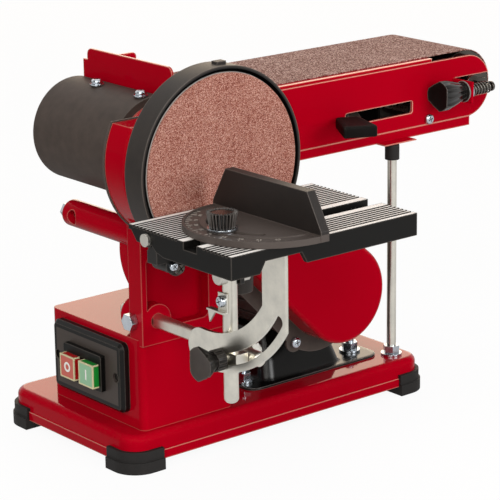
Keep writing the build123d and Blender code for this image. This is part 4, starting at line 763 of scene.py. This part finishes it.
# The gauge's pale edge colour is a painted highlight.
gauge_black = plastic("gauge_black", srgb(20, 17, 16), srgb(42, 36, 33), 0.42, 0.2, 1.38,
                      edge_glint=srgb(104, 96, 91), face=(protractor, srgb(74, 66, 62)))
coat(gauge_black, "mitre_head")
pivot = Vector((-0.1685, -0.1295, 0.2411))
tick_r, number_r = 0.0612, 0.0533
ticks = []
for step in range(-14, 15):
    angle = math.pi + math.radians(5 * step)
    long = 0.0052 if step % 3 == 0 else 0.003
    reach = tick_r - long / 2
    tick = start(bpy.ops.mesh.primitive_cube_add, size=1, scale=(long, 0.00055, 0.0006),
                 location=pivot + Vector((reach * math.cos(angle), reach * math.sin(angle), 0.0001)),
                 rotation=(0, 0, angle))
    bpy.ops.object.transform_apply(location=True, rotation=True, scale=True)
    ticks.append(tick)
for step in range(-4, 5):
    angle = math.pi + math.radians(15 * step)
    number = start(bpy.ops.object.text_add, location=(0, 0, 0))
    number.data.body = str(abs(15 * step))
    number.data.size = 0.0046
    number.data.extrude = 0.0002
    number.data.resolution_u = 3
    number.data.align_x = "CENTER"
    number.data.align_y = "CENTER"
    bpy.ops.object.convert(target="MESH")
    number = bpy.context.object
    number.rotation_euler = (0, 0, angle + math.pi / 2)
    number.location = pivot + Vector((number_r * math.cos(angle), number_r * math.sin(angle), 0.0002))
    bpy.ops.object.transform_apply(location=True, rotation=True, scale=True)
    ticks.append(number)
bpy.ops.object.select_all(action="DESELECT")
for tick in ticks:
    tick.select_set(True)
bpy.context.view_layer.objects.active = ticks[0]
bpy.ops.object.join()
scale_marks = plastic("scale_marks", srgb(128, 120, 113), srgb(160, 152, 145), 0.4, 0.05)
settle(bpy.context.object, "protractor_scale", "mitre_gauge", scale_marks)

low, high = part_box("mitre_knob")
middle = (low + high) / 2
ring = start(bpy.ops.mesh.primitive_cylinder_add, vertices=48, radius=0.0117, depth=0.0014,
             end_fill_type="NGON", location=(middle.x, middle.y, low.z + 0.0009))
pick(ring, lambda place, normal: abs(normal.z) > 0.9)
bpy.ops.mesh.inset(thickness=0.0018)
bpy.ops.mesh.bridge_edge_loops()
settle(ring, "mitre_knob_washer", "mitre_clamp", zinc_turned)
knob = start(bpy.ops.mesh.primitive_cylinder_add, vertices=96, radius=0.0122, depth=high.z - low.z,
             end_fill_type="NGON", location=middle)
bpy.ops.object.transform_apply(location=True, rotation=True, scale=True)
pick(knob, lambda place, normal: abs(normal.z) < 0.1
     and math.floor(math.atan2(place.y - middle.y, place.x - middle.x) / math.radians(3.75)) % 4 < 2)
bpy.ops.mesh.inset(thickness=0.0001, use_boundary=True)
bpy.ops.transform.shrink_fatten(value=-0.0011)
pick(knob, lambda place, normal: normal.z > 0.9)
bpy.ops.mesh.inset(thickness=0.0032)
bpy.ops.transform.translate(value=(0, 0, -0.0008))
pick(knob, lambda place, normal: normal.z < -0.9)
bpy.ops.transform.resize(value=(0.78, 0.78, 1), center_override=middle)
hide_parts("mitre_knob")
settle(knob, "mitre_knob_knurled", "mitre_clamp", knob_gloss)

# Studio: a pale floor, a white surround, four soft lights, and the camera at the photograph's place.
# Gloss sees the floor behind the object darker, as if a flag stood there.
floor = start(bpy.ops.mesh.primitive_plane_add, size=30, location=(0.5, 0.5, 0))
bpy.ops.object.transform_apply(location=True, rotation=True, scale=True)
floor.name = "floor"
paper = Finish(bpy.data.materials.new("floor_paper"))
across, deep = paper.along("X"), paper.along("Y")
flag = paper.add("MapRange", {"interpolation_type": "SMOOTHSTEP"},
                 {"Value": deep + 0.75 * across, "From Min": 0.0, "From Max": 0.2}) \
    * paper.add("MapRange", {"interpolation_type": "SMOOTHSTEP"},
                {"Value": across, "From Min": 0.4, "From Max": 0.2})
seen = paper.add("LightPath", out="Is Camera Ray")
shiny = paper.add("LightPath", out="Is Glossy Ray")
white = paper.add("Emission", sockets={"Color": (1, 1, 1, 1), "Strength": 1.0})
paper_tone = paper.mix(seen, (0.45, 0.45, 0.45, 1), (0.95, 0.95, 0.95, 1))
matt = paper.add("BsdfDiffuse", sockets={"Color": paper_tone})
share = seen * 0.93 + shiny * (0.62 - 0.56 * flag)
surface = paper.add("MixShader", sockets={0: share, 1: matt, 2: white})
paper.add("OutputMaterial", sockets={"Surface": surface})
floor.data.materials.append(paper.owner)

surround = Finish(bpy.data.worlds.new("studio"))
ray = surround.add("LightPath", out="Is Camera Ray")
gloss = surround.add("LightPath", out="Is Glossy Ray")
clear = surround.add("LightPath", out="Is Transmission Ray")
way = surround.add("TexCoord", out="Generated")
behind = surround.add("VectorMath", {"operation": "DOT_PRODUCT"},
                      {0: way, 1: (0.632, 0.775, 0.0)}, "Value")
wall = surround.add("MapRange", {"interpolation_type": "SMOOTHSTEP"},
                    {"Value": behind, "From Min": -0.5, "From Max": 0.7, "To Min": 0.25, "To Max": 1.0})
strength = ray + (1 - ray) * (gloss * wall + clear + (1 - gloss) * (1 - clear) * 0.38)
backdrop = surround.add("Background", sockets={"Color": (1, 0.985, 0.96, 1), "Strength": strength})
surround.add("OutputWorld", sockets={"Surface": backdrop})
bpy.context.scene.world = surround.owner

lit_point = Vector((0, 0, 0.17))
for name, place, size, power, tint in (
        ("key", (-1.9, -1.6, 1.5), 2.0, 56, (1, 0.97, 0.93)),
        ("front", (0.5, -2.6, 1.0), 1.3, 36, (1, 1, 1)),
        ("top", (0.3, 0.3, 2.3), 1.8, 9, (1, 1, 1)),
        ("back", (1.9, 2.3, 1.0), 2.0, 24, (1, 0.74, 0.47))):
    bpy.ops.object.light_add(type="AREA", location=place)
    lamp = bpy.context.object
    lamp.name = name
    lamp.data.size = size
    lamp.data.energy = power
    lamp.data.color = tint
    lamp.rotation_mode = "QUATERNION"
    lamp.rotation_quaternion = (Vector(place) - lit_point).to_track_quat("Z", "Y")

azimuth, elevation, roll = math.radians(-39.22), math.radians(16.083), math.radians(-0.784)
back = Vector((math.sin(azimuth) * math.cos(elevation), -math.cos(azimuth) * math.cos(elevation),
               math.sin(elevation)))
bpy.ops.object.camera_add(location=(-1.2063, -1.3819, 0.6874))
camera = bpy.context.object
camera.rotation_mode = "QUATERNION"
camera.rotation_quaternion = back.to_track_quat("Z", "Y") @ Quaternion((0, 0, 1), roll)
camera.data.lens = 160.19
camera.data.clip_end = 50
bpy.context.scene.camera = camera
bpy.context.scene.view_settings.view_transform = "Standard"
